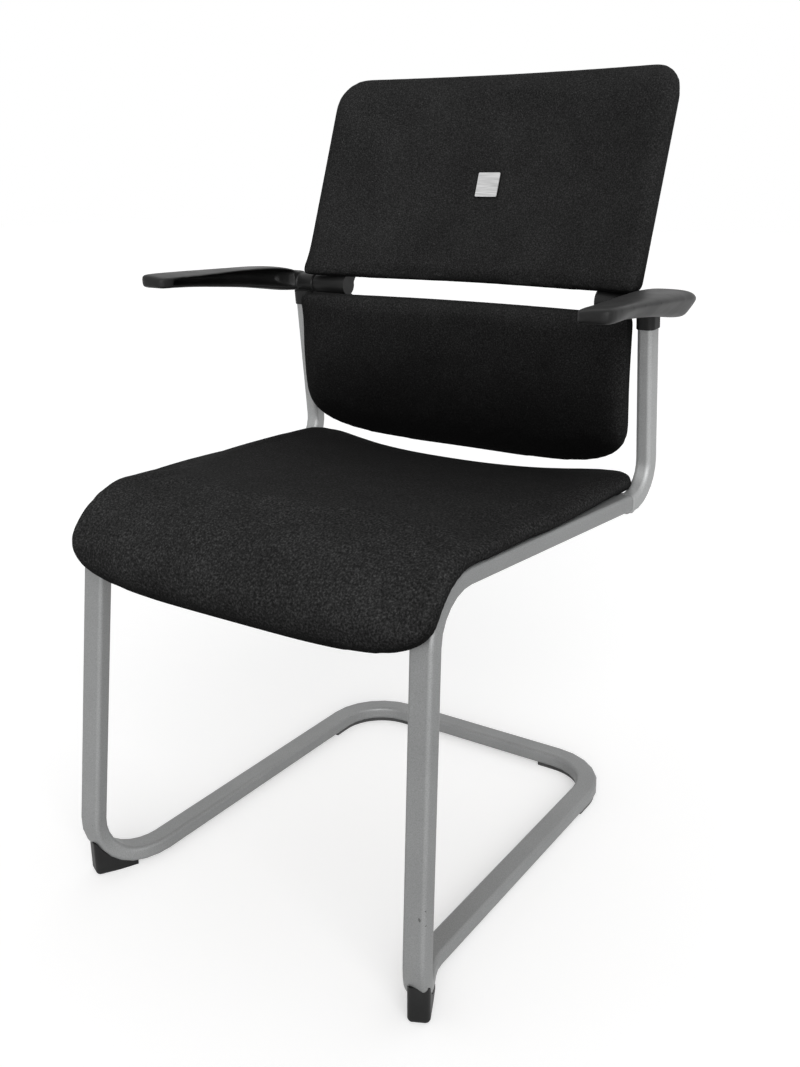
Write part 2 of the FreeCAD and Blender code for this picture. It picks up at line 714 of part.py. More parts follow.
def make_bush():
    outer = rod(BARREL_IN + BARREL_END + 2.0, BARREL_OUT - 1.0, PIVOT_Y, PIVOT_Z, BUSH_RADIUS)
    return outer.cut(rod(BARREL_IN, BARREL_OUT + 5, PIVOT_Y, PIVOT_Z, PIN_RADIUS + FIXED_FIT))


def arm_section(y, inner, outer, low, high):
    """Arm outline: crowned top, bevel along the outer edge, undercut flank, flat underside."""
    tall = high - low
    wide = outer - inner
    a = Vector(inner, y, high - tall * 0.06)
    b = Vector(outer - wide * 0.22, y, high - tall * 0.05)
    top = Vector((a.x + b.x) / 2, y, high)
    c = Vector(outer, y, high - tall * 0.34)
    d = Vector(outer - wide * 0.26, y, low + tall * 0.06)
    e = Vector(inner, y, low)
    under = Vector((d.x + e.x) / 2, y, low - tall * 0.01)
    edges = [arc(a, top, b), line(b, c), line(c, d), arc(d, under, e), line(e, a)]
    return Part.Wire(edges)


def make_armrest():
    """Arm lofted from the round tip to the stern, hub on the pivot line, hollow inner side."""
    inner = UP_INNER + 20.6
    long = ARM_LENGTH
    rows = (
        (0.000, 21.0, 36.0, 16.0, 22.0),
        (0.011, 15.0, 42.0, 14.5, 23.5),
        (0.031, 11.0, 46.5, 13.5, 24.5),
        (0.071, 8.0, 48.5, 12.5, 25.5),
        (0.167, 5.0, 50.0, 10.0, 26.5),
        (0.342, 2.5, 51.5, 5.0, 27.0),
        (0.544, 0.0, 52.0, -0.5, 26.0),
        (0.709, 0.0, 51.5, -5.0, 23.5),
        (0.819, 0.0, 49.5, -8.0, 20.5),
        (0.892, 0.0, 44.0, -9.5, 18.0),
        (0.947, 0.0, 36.0, -10.0, 15.5),
        (1.000, 0.0, 23.0, -9.0, 11.0),
    )
    wires = []
    for f, near, far, low, high in rows:
        wires.append(arm_section(ARM_FRONT + long * f, inner + near, inner + far, PIVOT_Z + low, PIVOT_Z + high))
    body = Part.makeLoft(wires, True, True)
    pocket = [
        Vector(inner - 20, ARM_FRONT + long * 0.15, PIVOT_Z + 16.0),
        Vector(inner - 20, ARM_FRONT + long * 0.15, PIVOT_Z + 21.5),
        Vector(inner - 20, ARM_FRONT + long * 0.50, PIVOT_Z + 21.5),
        Vector(inner - 20, ARM_FRONT + long * 0.80, PIVOT_Z + 18.0),
        Vector(inner - 20, ARM_FRONT + long * 0.80, PIVOT_Z - 2.0),
        Vector(inner - 20, ARM_FRONT + long * 0.50, PIVOT_Z + 7.0),
    ]
    body = one_solid(body.cut(prism(pocket, Vector(52.0, 0, 0))))
    hub = rod(HUB_X, HUB_X + HUB_LENGTH, PIVOT_Y, PIVOT_Z, HUB_RADIUS)
    arm = joined([hub, body])
    bore = rod(HUB_X - 1, HUB_X + HUB_LENGTH - 5.5, PIVOT_Y, PIVOT_Z, PIN_RADIUS + FIXED_FIT)
    return one_solid(arm.cut(bore))


def make_sleeve(arm):
    """Collar over the upright's top, its upper rim seated against the arm."""
    outer_wide = UPRIGHT_WIDE + 2 * SLEEVE_WALL
    outer_deep = UPRIGHT_DEEP + 2 * SLEEVE_WALL
    fit = 2 * SLEEVE_FIT
    low = UP_TOP - DIR_UP * (SLEEVE_HIGH - 11.0)
    deep_dir = DIR_UP.cross(UP_ACROSS)
    block = Part.Face(rounded_wire(low, UP_ACROSS, deep_dir, outer_wide, outer_deep, UPRIGHT_CORNER + 1.5))
    block = block.extrude(DIR_UP * SLEEVE_HIGH)
    room = Part.Face(rounded_wire(low - DIR_UP, UP_ACROSS, deep_dir, UPRIGHT_WIDE + fit, UPRIGHT_DEEP + fit,
                                  UPRIGHT_CORNER + SLEEVE_FIT))
    room = room.extrude(DIR_UP * (SLEEVE_HIGH - 11.0 + 1.0 + SLEEVE_FIT))
    return one_solid(block.cut(room).cut(arm))


def make_front_glide(frame_outer):
    """Wedge under the front bend, turned with the kink, its top seated on the tube."""
    back = Vector(-math.sin(KINK), math.cos(KINK), 0)
    side = Vector(math.cos(KINK), math.sin(KINK), 0)
    start = Vector(HALF + FOOT_OUT, 0, 0) + back * GLIDE_NOSE + side * 2.0
    w = GLIDE_WIDE / 2
    r = 4.0
    plan = [
        start - side * (w - r), start + side * (w - r), start + side * w + back * r,
        start + side * w + back * GLIDE_LONG, start - side * w + back * GLIDE_LONG, start - side * w + back * r,
    ]
    block = prism(plan, Vector(0, 0, GLIDE_HIGH))
    pieces = sorted(block.cut(frame_outer).Solids, key=lambda s: s.BoundBox.ZMin - s.Volume * 1e-9)
    return pieces[0]


def pad_wire(spot, across):
    """Outline of the rear pad: flat on the tube, chamfered towards the floor."""
    w = REAR_PAD_WIDE / 2
    c = REAR_PAD_CHAMFER
    up = Vector(0, 0, 1)
    shape = ((-w, PAD_HEIGHT), (-w, c), (-w + c, 0), (w - c, 0), (w, c), (w, PAD_HEIGHT))
    points = [spot + across * u + up * v for u, v in shape]
    return Part.makePolygon(points + [points[0]])


def make_rear_glide():
    """Pad under the rear corner that follows the bend and runs on along both tubes."""
    turn_x = HALF - REAR_BEND
    turn_y = BAR_Y - REAR_BEND
    ahead = Vector(0, 1, 0)
    side = Vector(1, 0, 0)
    first = Part.Face(pad_wire(Vector(turn_x - REAR_PAD_RUN, BAR_Y, 0), ahead))
    middle = Part.Face(pad_wire(Vector(turn_x, BAR_Y, 0), ahead))
    last = Part.Face(pad_wire(Vector(HALF, turn_y, 0), side))
    return joined([
        first.extrude(Vector(REAR_PAD_RUN, 0, 0)),
        middle.revolve(Vector(turn_x, turn_y, 0), Vector(0, 0, -1), 90),
        last.extrude(Vector(0, -REAR_PAD_RUN, 0)),
    ])


def screw(seat, inward, length):
    """Hexagon headed screw: head outside the seat, shank going inward."""
    flat = unit(inward.cross(Vector(0.3, 0.2, 1.0)))
    corners = [seat + turned(flat, inward, i * math.pi / 3) * SCREW_HEAD for i in range(6)]
    head = prism(corners, inward * -SCREW_HEAD_HIGH)
    shank = Part.makeCylinder(SCREW_RADIUS, length, seat, inward)
    return joined([head, shank])


def screw_hole(seat, inward, length):
    reach = length + 1.0
    return Part.makeCylinder(SCREW_RADIUS + SCREW_FIT, reach + 2.0, seat - inward * 2.0, inward)


def make_tag():
    """Bare plate lying on the front face of the upper back."""
    z = UPPER_Z + TAG_RISE
    up = unit(Vector(0, upper_line(0, z + 5) - upper_line(0, z - 5), 10.0))
    out = Vector(1, 0, 0).cross(up) * -1
    if out.y > 0:
        out = out * -1
    back = Vector(0, upper_line(0, z), z) + out * TAG_PROUD
    outline = rounded_wire(back, Vector(1, 0, 0), up, TAG_SIZE, TAG_SIZE, 1.5)
    return Part.Face(outline).extrude(out * TAG_THICK)


# Build every piece
parts = {}
frame_outer, parts["cantilever_frame"] = make_frame()
upright = make_upright()
parts["upright_right"] = upright

parts["seat_cushion"] = make_seat_cushion()
pan = make_pan(0)
brackets = []
seat_screws = []
pan_holes = []
for y in (LEG_LEAN + BRACKET_FROM_KNEE, RAIL_END.y - BRACKET_FROM_END):
    bracket = make_bracket(y, frame_outer)
    seat, inward = tab_screw(y)
    length = BRACKET_THICK + PAN_THICK - 1.5
    hole = screw_hole(seat, inward, length)
    bracket = one_solid(bracket.cut(hole))
    pan_holes += [hole, mirrored(hole)]
    fastener = screw(seat - inward * 0.1, inward, length)
    brackets += [bracket, mirrored(bracket)]
    seat_screws += [fastener, mirrored(fastener)]
parts["seat_brackets"] = Part.makeCompound(brackets)
parts["seat_pan"] = one_solid(pan.cut(pan_holes))
parts["seat_screws"] = Part.makeCompound(seat_screws)

glide = make_front_glide(frame_outer)
parts["front_glide_right"] = glide
parts["rear_glide_right"] = make_rear_glide()

upper_shell = make_back_shell(upper_line, upper_stations(SHELL_INSET), UPPER_FOAM)
lower_shell = make_back_shell(lower_line, lower_stations(SHELL_INSET), LOWER_FOAM)
parts["upper_back_cushion"] = make_back_cushion(upper_line, upper_stations(0), UPPER_FOAM)
parts["lower_back_cushion"] = make_back_cushion(lower_line, lower_stations(0), LOWER_FOAM)
parts["back_tag"] = make_tag()

upper_hinge = make_upper_hinge(upper_shell, parts["upper_back_cushion"])
lower_hinge = make_lower_hinge(lower_shell, parts["lower_back_cushion"])
screw_x = LUG_X + LUG_WIDE / 2


def fix_lug(hinge, shell, face_line, foam, heights, lean):
    """Two screws through a lug into its shell, with clearance holes in both."""
    screws = []
    inward = unit(Vector(0, -1.0, lean))
    for z in heights:
        y = shell_back(face_line, foam, screw_x, z)
        seat = Vector(screw_x, y, z) - inward * LUG_THICK
        screws.append(screw(seat, inward, LUG_THICK + SHELL_THICK - 2.5))
        hole = screw_hole(seat, inward, LUG_THICK + SHELL_THICK - 2.5)
        head_room = Part.makeCylinder(SCREW_HEAD + 1.0, 12.0, seat - inward * 12.0, inward)
        hinge = hinge.cut(hole).cut(head_room)
        shell = shell.cut(hole).cut(mirrored(hole))
    return one_solid(hinge), one_solid(shell), screws


upper_hinge, upper_shell, screws = fix_lug(
    upper_hinge, upper_shell, upper_line, UPPER_FOAM, (UPPER_Z + 28.0, UPPER_Z + 50.0), UPPER_SLOPE)
parts["upper_back_screws"] = Part.makeCompound(screws + [mirrored(s) for s in screws])
lower_hinge, lower_shell, screws = fix_lug(
    lower_hinge, lower_shell, lower_line, LOWER_FOAM, (LOWER_Z - 30.0, LOWER_Z - 50.0), 0.0)
parts["lower_back_screws"] = Part.makeCompound(screws + [mirrored(s) for s in screws])
parts["upper_back_shell"] = upper_shell
parts["lower_back_shell"] = lower_shell
parts["upper_hinge_right"] = upper_hinge
parts["lower_hinge_right"] = lower_hinge
parts["pivot_pin_right"] = make_pin()
parts["torsion_bush_right"] = make_bush()
arm = make_armrest()
parts["armrest_right"] = arm
parts["arm_sleeve_right"] = make_sleeve(arm)

for name in [n for n in parts if n.endswith("_right")]:
    parts[name.replace("_right", "_left")] = mirrored(parts[name])

# Stand the chair on the floor with its footprint centred, then write every piece
boxes = [p.optimalBoundingBox(True) for p in parts.values()]
low = min(b.YMin for b in boxes)
high = max(b.YMax for b in boxes)
shift = Vector(0, -(low + high) / 2, 0)
os.makedirs("parts", exist_ok=True)
for name, shape in parts.items():
    shape.translate(shift)
    shape.exportStep("parts/" + name + ".step")
    box = shape.optimalBoundingBox(True)
    print(name, "solids", len(shape.Solids), "valid", shape.isValid(), "volume", round(shape.Volume),
          "x %.1f %.1f y %.1f %.1f z %.1f %.1f" % (box.XMin, box.XMax, box.YMin, box.YMax, box.ZMin, box.ZMax))
print("shift", round(shift.y, 3), "pivot", round(PIVOT_Y + shift.y, 3), round(PIVOT_Z, 3))
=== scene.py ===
import math

import bpy
import numpy as np
from mathutils import Matrix, Vector


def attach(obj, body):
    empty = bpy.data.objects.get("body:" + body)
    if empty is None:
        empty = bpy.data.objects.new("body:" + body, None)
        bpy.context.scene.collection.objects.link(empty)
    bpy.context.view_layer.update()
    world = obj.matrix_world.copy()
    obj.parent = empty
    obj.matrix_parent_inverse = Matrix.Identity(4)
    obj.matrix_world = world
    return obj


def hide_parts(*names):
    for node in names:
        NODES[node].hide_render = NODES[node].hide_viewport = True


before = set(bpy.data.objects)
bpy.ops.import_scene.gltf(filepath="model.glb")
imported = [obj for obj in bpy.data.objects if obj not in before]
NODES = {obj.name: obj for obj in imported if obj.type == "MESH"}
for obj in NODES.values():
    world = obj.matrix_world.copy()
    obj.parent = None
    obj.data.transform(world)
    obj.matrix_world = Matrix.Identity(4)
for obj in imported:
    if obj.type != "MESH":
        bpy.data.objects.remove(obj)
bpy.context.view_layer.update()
MM = 0.001

# Pivot line of the back and the stations the cushions are drawn from, metres
PIVOT_Y = 0.17768
PIVOT_Z = 0.669
UPPER_Z = 0.6825
UPPER_HIGH = 0.2495
LOWER_Z = 0.658
LOWER_HIGH = 0.192
SEAT_REAR_Y = 0.19218
SEAT_FLAT_Y = -0.20288
SEAT_FLAT_LONG = 0.39519
RAIL_SLOPE = -0.025595
RAIL_TOP_REAR = 0.449467
KNEE_Y = -0.20461
KNEE_Z = 0.390159
KNEE_RADIUS = 0.0695
KNEE_FROM = math.radians(88.534)
SEAT_DISH = 0.0205
DISH_HALF = 0.2375


# Colours and nodes

def linear(hex_colour):
    """sRGB hex to linear light, channel by channel, alpha 1."""
    values = []
    for i in (1, 3, 5):
        c = int(hex_colour[i:i + 2], 16) / 255
        values.append(c / 12.92 if c <= 0.04045 else ((c + 0.055) / 1.055) ** 2.4)
    return (*values, 1.0)


def add(tree, kind, settings=None, **inputs):
    """Adds one node; settings are its properties, inputs are values or (node, socket) links."""
    node = tree.nodes.new(kind)
    for name, value in (settings or {}).items():
        setattr(node, name, value)
    for name, value in inputs.items():
        socket = node.inputs[int(name[1:])] if name[1:].isdigit() else node.inputs[name.replace("_", " ")]
        if isinstance(value, tuple) and isinstance(value[0], bpy.types.Node):
            tree.links.new(value[0].outputs[value[1]], socket)
        else:
            socket.default_value = value
    return node


def new_material(name):
    """A material with its node tree and its main shader."""
    mat = bpy.data.materials.new(name)
    mat.use_nodes = True
    tree = mat.node_tree
    shader = tree.nodes["Principled BSDF"]
    return mat, tree, shader


def object_space(tree):
    """The piece's own place, so that patterns stay with the piece when it moves."""
    return add(tree, "ShaderNodeTexCoord")


def ramp_stops(node, stops):
    """Sets a colour ramp's stops from (place, hex) pairs."""
    ramp = node.color_ramp
    while len(ramp.elements) < len(stops):
        ramp.elements.new(0.5)
    for element, (place, colour) in zip(ramp.elements, stops):
        element.position = place
        element.color = linear(colour) if isinstance(colour, str) else (colour, colour, colour, 1.0)


# Materials

def crepe_wool(name, pebble_mm, tones, reach, closed):
    """Black crepe wool upholstery, tightly woven from high-twist yarn: a matt pebbled face
    that scatters light at grazing angles and shows lint-grey points where yarns cross. Its colour
    is darkened where it faces other surfaces within reach: painted shade, from ambient occlusion.
    The pebble is drawn about twice as coarse as real yarn, so that it shows."""
    mat, tree, shader = new_material(name)
    space = object_space(tree)
    pebble = add(tree, "ShaderNodeTexNoise", Vector=(space, "Object"), Scale=1 / (pebble_mm * MM),
                 Detail=2.5, Roughness=0.62)
    yarn = add(tree, "ShaderNodeTexVoronoi", Vector=(space, "Object"), Scale=1 / (0.85 * pebble_mm * MM))
    cloud = add(tree, "ShaderNodeTexNoise", Vector=(space, "Object"), Scale=1 / (60 * MM), Detail=3.0)
    lint = add(tree, "ShaderNodeTexNoise", Vector=(space, "Object"), Scale=1 / (3.2 * MM), Detail=4.0)
    tone = add(tree, "ShaderNodeValToRGB", Fac=(pebble, "Fac"))
    ramp_stops(tone, tuple(zip((0.30, 0.52, 0.74), tones)))
    shade = add(tree, "ShaderNodeMapRange", Value=(cloud, "Fac"), From_Min=0.3, From_Max=0.7, To_Min=0.86,
                To_Max=1.12)
    broad = add(tree, "ShaderNodeMix", {"data_type": "RGBA", "blend_type": "MULTIPLY"}, _0=1.0,
                _6=(tone, "Color"), _7=(shade, "Result"))
    speck = add(tree, "ShaderNodeMapRange", Value=(lint, "Fac"), From_Min=0.70, From_Max=0.80, To_Min=0.0,
                To_Max=0.5)
    colour = add(tree, "ShaderNodeMix", {"data_type": "RGBA"}, _0=(speck, "Result"), _6=(broad, 2),
                 _7=linear("#5a5a5a"))
    # Painted shade: ambient occlusion within reach darkens the colour, down to a tenth at closed and below
    shade_occlusion = add(tree, "ShaderNodeAmbientOcclusion", {"samples": 6}, Distance=reach)
    depth = add(tree, "ShaderNodeMapRange", Value=(shade_occlusion, "AO"), From_Min=closed, From_Max=0.95,
                To_Min=0.10, To_Max=1.0)
    shaded_colour = add(tree, "ShaderNodeMix", {"data_type": "RGBA", "blend_type": "MULTIPLY"}, _0=1.0,
              _6=(colour, 2), _7=(depth, "Result"))
    tree.links.new(shaded_colour.outputs[2], shader.inputs["Base Color"])
    height = add(tree, "ShaderNodeMath", {"operation": "MULTIPLY_ADD"}, _0=(yarn, "Distance"), _1=-0.55,
                 _2=(pebble, "Fac"))
    bump = add(tree, "ShaderNodeBump", Height=(height, "Value"), Strength=0.55, Distance=0.6 * MM)
    tree.links.new(bump.outputs["Normal"], shader.inputs["Normal"])
    shader.inputs["Roughness"].default_value = 0.96
    shader.inputs["Specular IOR Level"].default_value = 0.03
    shader.inputs["Sheen Weight"].default_value = 0.02
    shader.inputs["Sheen Roughness"].default_value = 0.55
    shader.inputs["Sheen Tint"].default_value = linear("#b8b8b8")
    return mat


def silver_powder_coat(name, chips, tones):
    """Silver-grey polyester powder coat on steel tube, baked: satin, a faint orange peel of about
    a millimetre, aluminium flake as a fine sparkle, and small chips down to dark primer. Peel and
    flake share one pattern, drawn coarser than real flake so that it shows."""
    mat, tree, shader = new_material(name)
    space = object_space(tree)
    flake = add(tree, "ShaderNodeTexNoise", Vector=(space, "Object"), Scale=1 / (1.1 * MM), Detail=2.0)
    drift = add(tree, "ShaderNodeTexNoise", Vector=(space, "Object"), Scale=1 / (90 * MM), Detail=2.0)
    tone = add(tree, "ShaderNodeValToRGB", Fac=(flake, "Fac"))
    ramp_stops(tone, tuple(zip((0.25, 0.5, 0.8), tones)))
    shade = add(tree, "ShaderNodeMapRange", Value=(drift, "Fac"), From_Min=0.3, From_Max=0.7, To_Min=0.94,
                To_Max=1.05)
    coat = add(tree, "ShaderNodeMix", {"data_type": "RGBA", "blend_type": "MULTIPLY"}, _0=1.0,
               _6=(tone, "Color"), _7=(shade, "Result"))
    edge = add(tree, "ShaderNodeTexNoise", Vector=(space, "Object"), Scale=1 / (5 * MM), Detail=5.0,
               Roughness=0.7)
    worn = None
    for spot, reach in chips:
        away = add(tree, "ShaderNodeVectorMath", {"operation": "DISTANCE"}, _0=(space, "Object"), _1=spot)
        near = add(tree, "ShaderNodeMapRange", Value=(away, "Value"), From_Min=0.0, From_Max=reach,
                   To_Min=0.42, To_Max=-0.25)
        mask = add(tree, "ShaderNodeMath", {"operation": "ADD"}, _0=(near, "Result"), _1=(edge, "Fac"))
        if worn is not None:
            mask = add(tree, "ShaderNodeMath", {"operation": "MAXIMUM"}, _0=(mask, "Value"),
                       _1=(worn, "Value"))
        worn = mask
    chip = add(tree, "ShaderNodeMapRange", Value=(worn, "Value"), From_Min=0.80, From_Max=0.84)
    colour = add(tree, "ShaderNodeMix", {"data_type": "RGBA"}, _0=(chip, "Result"), _6=(coat, 2),
                 _7=linear("#585858"))
    tree.links.new(colour.outputs[2], shader.inputs["Base Color"])
    matt = add(tree, "ShaderNodeMapRange", Value=(flake, "Fac"), From_Min=0.3, From_Max=0.7, To_Min=0.42,
               To_Max=0.52)
    tree.links.new(matt.outputs["Result"], shader.inputs["Roughness"])
    peel = add(tree, "ShaderNodeMath", {"operation": "SUBTRACT"}, _0=(flake, "Fac"), _1=(chip, "Result"))
    bump = add(tree, "ShaderNodeBump", Height=(peel, "Value"), Strength=0.10, Distance=0.3 * MM)
    tree.links.new(bump.outputs["Normal"], shader.inputs["Normal"])
    shader.inputs["Metallic"].default_value = 0.35
    return mat


def moulded_black(name, dark, pale, grain_mm, rough, relief):
    """Black moulded plastic, spark-eroded tool finish: a fine even grain that breaks highlights,
    with slightly paler rubbed patches. The grain is drawn coarser than the tool's, so that it shows."""
    mat, tree, shader = new_material(name)
    space = object_space(tree)
    grain = add(tree, "ShaderNodeTexNoise", Vector=(space, "Object"), Scale=1 / (grain_mm * MM), Detail=2.0)
    rubbed = add(tree, "ShaderNodeTexNoise", Vector=(space, "Object"), Scale=1 / (45 * MM), Detail=4.0)
    tone = add(tree, "ShaderNodeValToRGB", Fac=(rubbed, "Fac"))
    ramp_stops(tone, ((0.35, dark), (0.68, pale)))
    tree.links.new(tone.outputs["Color"], shader.inputs["Base Color"])
    gloss = add(tree, "ShaderNodeMapRange", Value=(rubbed, "Fac"), From_Min=0.3, From_Max=0.7,
                To_Min=rough + 0.06, To_Max=rough - 0.05)
    tree.links.new(gloss.outputs["Result"], shader.inputs["Roughness"])
    bump = add(tree, "ShaderNodeBump", Height=(grain, "Fac"), Strength=relief, Distance=0.15 * MM)
    tree.links.new(bump.outputs["Normal"], shader.inputs["Normal"])
    shader.inputs["Specular IOR Level"].default_value = 0.22
    return mat


def beech_plywood():
    """Moulded beech plywood, sanded and clear lacquered: long fine grain along the seat with
    small dark flecks."""
    mat, tree, shader = new_material("beech_plywood")
    space = object_space(tree)
    along = add(tree, "ShaderNodeMapping", Vector=(space, "Object"), Scale=(1.0, 0.08, 1.0))
    grain = add(tree, "ShaderNodeTexNoise", Vector=(along, "Vector"), Scale=1 / (4 * MM), Detail=6.0,
                Roughness=0.65)
    tone = add(tree, "ShaderNodeValToRGB", Fac=(grain, "Fac"))
    ramp_stops(tone, ((0.3, "#8a6a47"), (0.55, "#b08a5e"), (0.75, "#c4a074")))
    tree.links.new(tone.outputs["Color"], shader.inputs["Base Color"])
    bump = add(tree, "ShaderNodeBump", Height=(grain, "Fac"), Strength=0.12, Distance=0.2 * MM)
    tree.links.new(bump.outputs["Normal"], shader.inputs["Normal"])
    shader.inputs["Roughness"].default_value = 0.5
    return mat


def zinc_steel():
    """Bright zinc plated steel: cool grey with faint cloudy passivation."""
    mat, tree, shader = new_material("zinc_plated_steel")
    space = object_space(tree)
    cloud = add(tree, "ShaderNodeTexNoise", Vector=(space, "Object"), Scale=1 / (3 * MM), Detail=3.0)
    tone = add(tree, "ShaderNodeValToRGB", Fac=(cloud, "Fac"))
    ramp_stops(tone, ((0.3, "#9a9da0"), (0.7, "#c3c6c9")))
    tree.links.new(tone.outputs["Color"], shader.inputs["Base Color"])
    shader.inputs["Metallic"].default_value = 1.0
    shader.inputs["Roughness"].default_value = 0.38
    return mat


def brushed_tag():
    """Brushed aluminium plate, plain: fine level brush lines that spread the light sideways,
    drawn wider than real ones so that they show."""
    mat, tree, shader = new_material("brushed_aluminium")
    space = object_space(tree)
    along = add(tree, "ShaderNodeMapping", Vector=(space, "Object"), Scale=(0.04, 1.0, 1.0))
    brush = add(tree, "ShaderNodeTexNoise", Vector=(along, "Vector"), Scale=1 / (0.9 * MM), Detail=3.0)
    tone = add(tree, "ShaderNodeValToRGB", Fac=(brush, "Fac"))
    ramp_stops(tone, ((0.3, "#b0b0b0"), (0.7, "#d4d4d4")))
    tree.links.new(tone.outputs["Color"], shader.inputs["Base Color"])
    rough = add(tree, "ShaderNodeMapRange", Value=(brush, "Fac"), From_Min=0.3, From_Max=0.7, To_Min=0.30,
                To_Max=0.45)
    tree.links.new(rough.outputs["Result"], shader.inputs["Roughness"])
    bump = add(tree, "ShaderNodeBump", Height=(brush, "Fac"), Strength=0.08, Distance=0.1 * MM)
    tree.links.new(bump.outputs["Normal"], shader.inputs["Normal"])
    shader.inputs["Metallic"].default_value = 0.75
    return mat


# Places of the chips in the paint and the reach of each, metres
PAINT_CHIPS = (
    ((0.2363, -0.3016, 0.1263), 0.0060),
    ((0.2419, -0.2988, 0.1360), 0.0042),
    ((0.2430, -0.2995, 0.1209), 0.0032),
    ((0.2443, -0.3032, 0.0855), 0.0032),
    ((-0.2243, -0.3056, 0.0717), 0.0032),
    ((-0.2238, -0.2836, 0.2993), 0.0045),
)

# The last two numbers of each fabric set its painted shade: how far the occlusion reaches, and the openness
# at which the darkening is full. The seat's is longer and stronger, so its rear under the backs is darker.
BACK_FABRIC = crepe_wool("crepe_wool_black_back", 1.6, ("#161616", "#262626", "#3c3c3c"), 0.35, 0.52)
SEAT_FABRIC = crepe_wool("crepe_wool_black_seat", 2.2, ("#141414", "#292929", "#454545"), 0.60, 0.72)
POWDER = silver_powder_coat("silver_powder_coat", PAINT_CHIPS, ("#7c7d7d", "#8a8b8b", "#979898"))
# The uprights have the same coat as the frame, drawn paler: painted light, making up for the shade the black
# pads beside them cast
POWDER_PAINTED_LIGHT = silver_powder_coat("silver_powder_coat_upright", PAINT_CHIPS[-1:],
                            ("#969797", "#a3a4a4", "#b2b3b3"))
NYLON = moulded_black("moulded_nylon_black", "#151515", "#1f1f1f", 0.9, 0.46, 0.10)
SHELL = moulded_black("moulded_shell_black", "#101010", "#181818", 1.4, 0.52, 0.16)
GLIDE = moulded_black("glide_polyamide_black", "#0f0f0f", "#1c1c1c", 0.8, 0.50, 0.12)
PAD_GREY = moulded_black("glide_polyamide_grey", "#3c3c3c", "#4e4e4e", 0.8, 0.50, 0.12)
RUBBER = moulded_black("bush_rubber_black", "#0d0d0d", "#141414", 1.0, 0.80, 0.10)
PLY = beech_plywood()
ZINC = zinc_steel()
TAG = brushed_tag()

NODE_FINISH = {
    "cantilever_frame": POWDER, "upright": POWDER_PAINTED_LIGHT, "seat_brackets": POWDER,
    "seat_pan": PLY, "seat_screws": ZINC, "upper_back_screws": ZINC, "lower_back_screws": ZINC,
    "rear_glide": PAD_GREY, "arm_sleeve": NYLON, "pivot_pin": ZINC, "torsion_bush": RUBBER,
    "upper_hinge": NYLON, "lower_hinge": NYLON,
    "upper_back_shell": SHELL, "lower_back_shell": SHELL, "back_tag": TAG,
}

WELD_REACH = 0.00001
SHARP_ANGLE = math.radians(32)
FLAT_WEIGHT = 90


def soften_group():
    """Joins a CAD node's loose triangles and shades them smooth, with sharp edges past an angle."""
    group = bpy.data.node_groups.new("soften_facets", "GeometryNodeTree")
    group.interface.new_socket("Geometry", in_out="INPUT", socket_type="NodeSocketGeometry")
    group.interface.new_socket("Geometry", in_out="OUTPUT", socket_type="NodeSocketGeometry")
    start = group.nodes.new("NodeGroupInput")
    weld = add(group, "GeometryNodeMergeByDistance", Geometry=(start, "Geometry"), Distance=WELD_REACH)
    angle = add(group, "GeometryNodeInputMeshEdgeAngle")
    sharp = add(group, "ShaderNodeMath", {"operation": "GREATER_THAN"}, _0=(angle, "Unsigned Angle"),
                _1=SHARP_ANGLE)
    smooth = add(group, "GeometryNodeSetShadeSmooth", {"domain": "FACE"}, _0=(weld, "Geometry"))
    crease = add(group, "GeometryNodeSetShadeSmooth", {"domain": "EDGE"}, _0=(smooth, "Geometry"),
                 Selection=(sharp, "Value"), Shade_Smooth=False)
    end = group.nodes.new("NodeGroupOutput")
    group.links.new(crease.outputs["Geometry"], end.inputs["Geometry"])
    return group


SOFTEN = soften_group()
for node_name, node in NODES.items():
    key = node_name.replace("_left", "").replace("_right", "")
    if key in NODE_FINISH:
        node.data.materials.clear()
        node.data.materials.append(NODE_FINISH[key])
        node.modifiers.new("soften", "NODES").node_group = SOFTEN
        flats = node.modifiers.new("flat_faces", "WEIGHTED_NORMAL")
        flats.weight = FLAT_WEIGHT
        flats.keep_sharp = True


# Mesh makers

PAD_ROWS = 36
PAD_RING = 420
COVER_STEPS = 20
HELD_FACING = -0.30


def mesh_object(name, points, faces, finish):
    """Object at the origin from points and index faces, with one finish."""
    mesh = bpy.data.meshes.new(name)
    mesh.from_pydata(points.reshape(-1, 3).tolist(), [], faces)
    mesh.validate()
    mesh.update()
    mesh.materials.append(finish)
    obj = bpy.data.objects.new(name, mesh)
    bpy.context.scene.collection.objects.link(obj)
    return obj


def grid_faces(rows, columns, closed):
    """Quads of a grid of rows by columns, as index rows, wrapping round when closed."""
    count = columns if closed else columns - 1
    r, c = np.meshgrid(np.arange(rows - 1), np.arange(count), indexing="ij")
    n = (c + 1) % columns
    quads = np.stack([r * columns + c, r * columns + n, (r + 1) * columns + n, (r + 1) * columns + c], -1)
    return quads.reshape(-1, 4)


def even_outline(points, count):
    """A closed outline resampled to equal steps along its length."""
    loop = np.vstack([points, points[:1]])
    steps = np.hypot(*np.diff(loop, axis=0).T)
    run = np.concatenate([[0.0], np.cumsum(steps)])
    want = np.linspace(0, run[-1], count, endpoint=False)
    return np.stack([np.interp(want, run, loop[:, i]) for i in (0, 1)], -1)


def rim_distance(points, outline):
    """Distance of every point to the closed outline's nearest segment."""
    a = outline
    b = np.roll(outline, -1, axis=0)
    d = b - a
    rel = points[:, None, :] - a[None]
    t = np.clip((rel * d).sum(-1) / (d * d).sum(-1), 0, 1)
    gap = rel - t[..., None] * d
    return np.sqrt((gap * gap).sum(-1)).min(1)


def quarter_round(distance, radius):
    """How far a face is drawn in near the rim: a quarter circle, r - sqrt(r^2 - (r - d)^2)."""
    lack = np.clip(radius - distance, 0, radius)
    return radius - np.sqrt(radius ** 2 - lack ** 2)


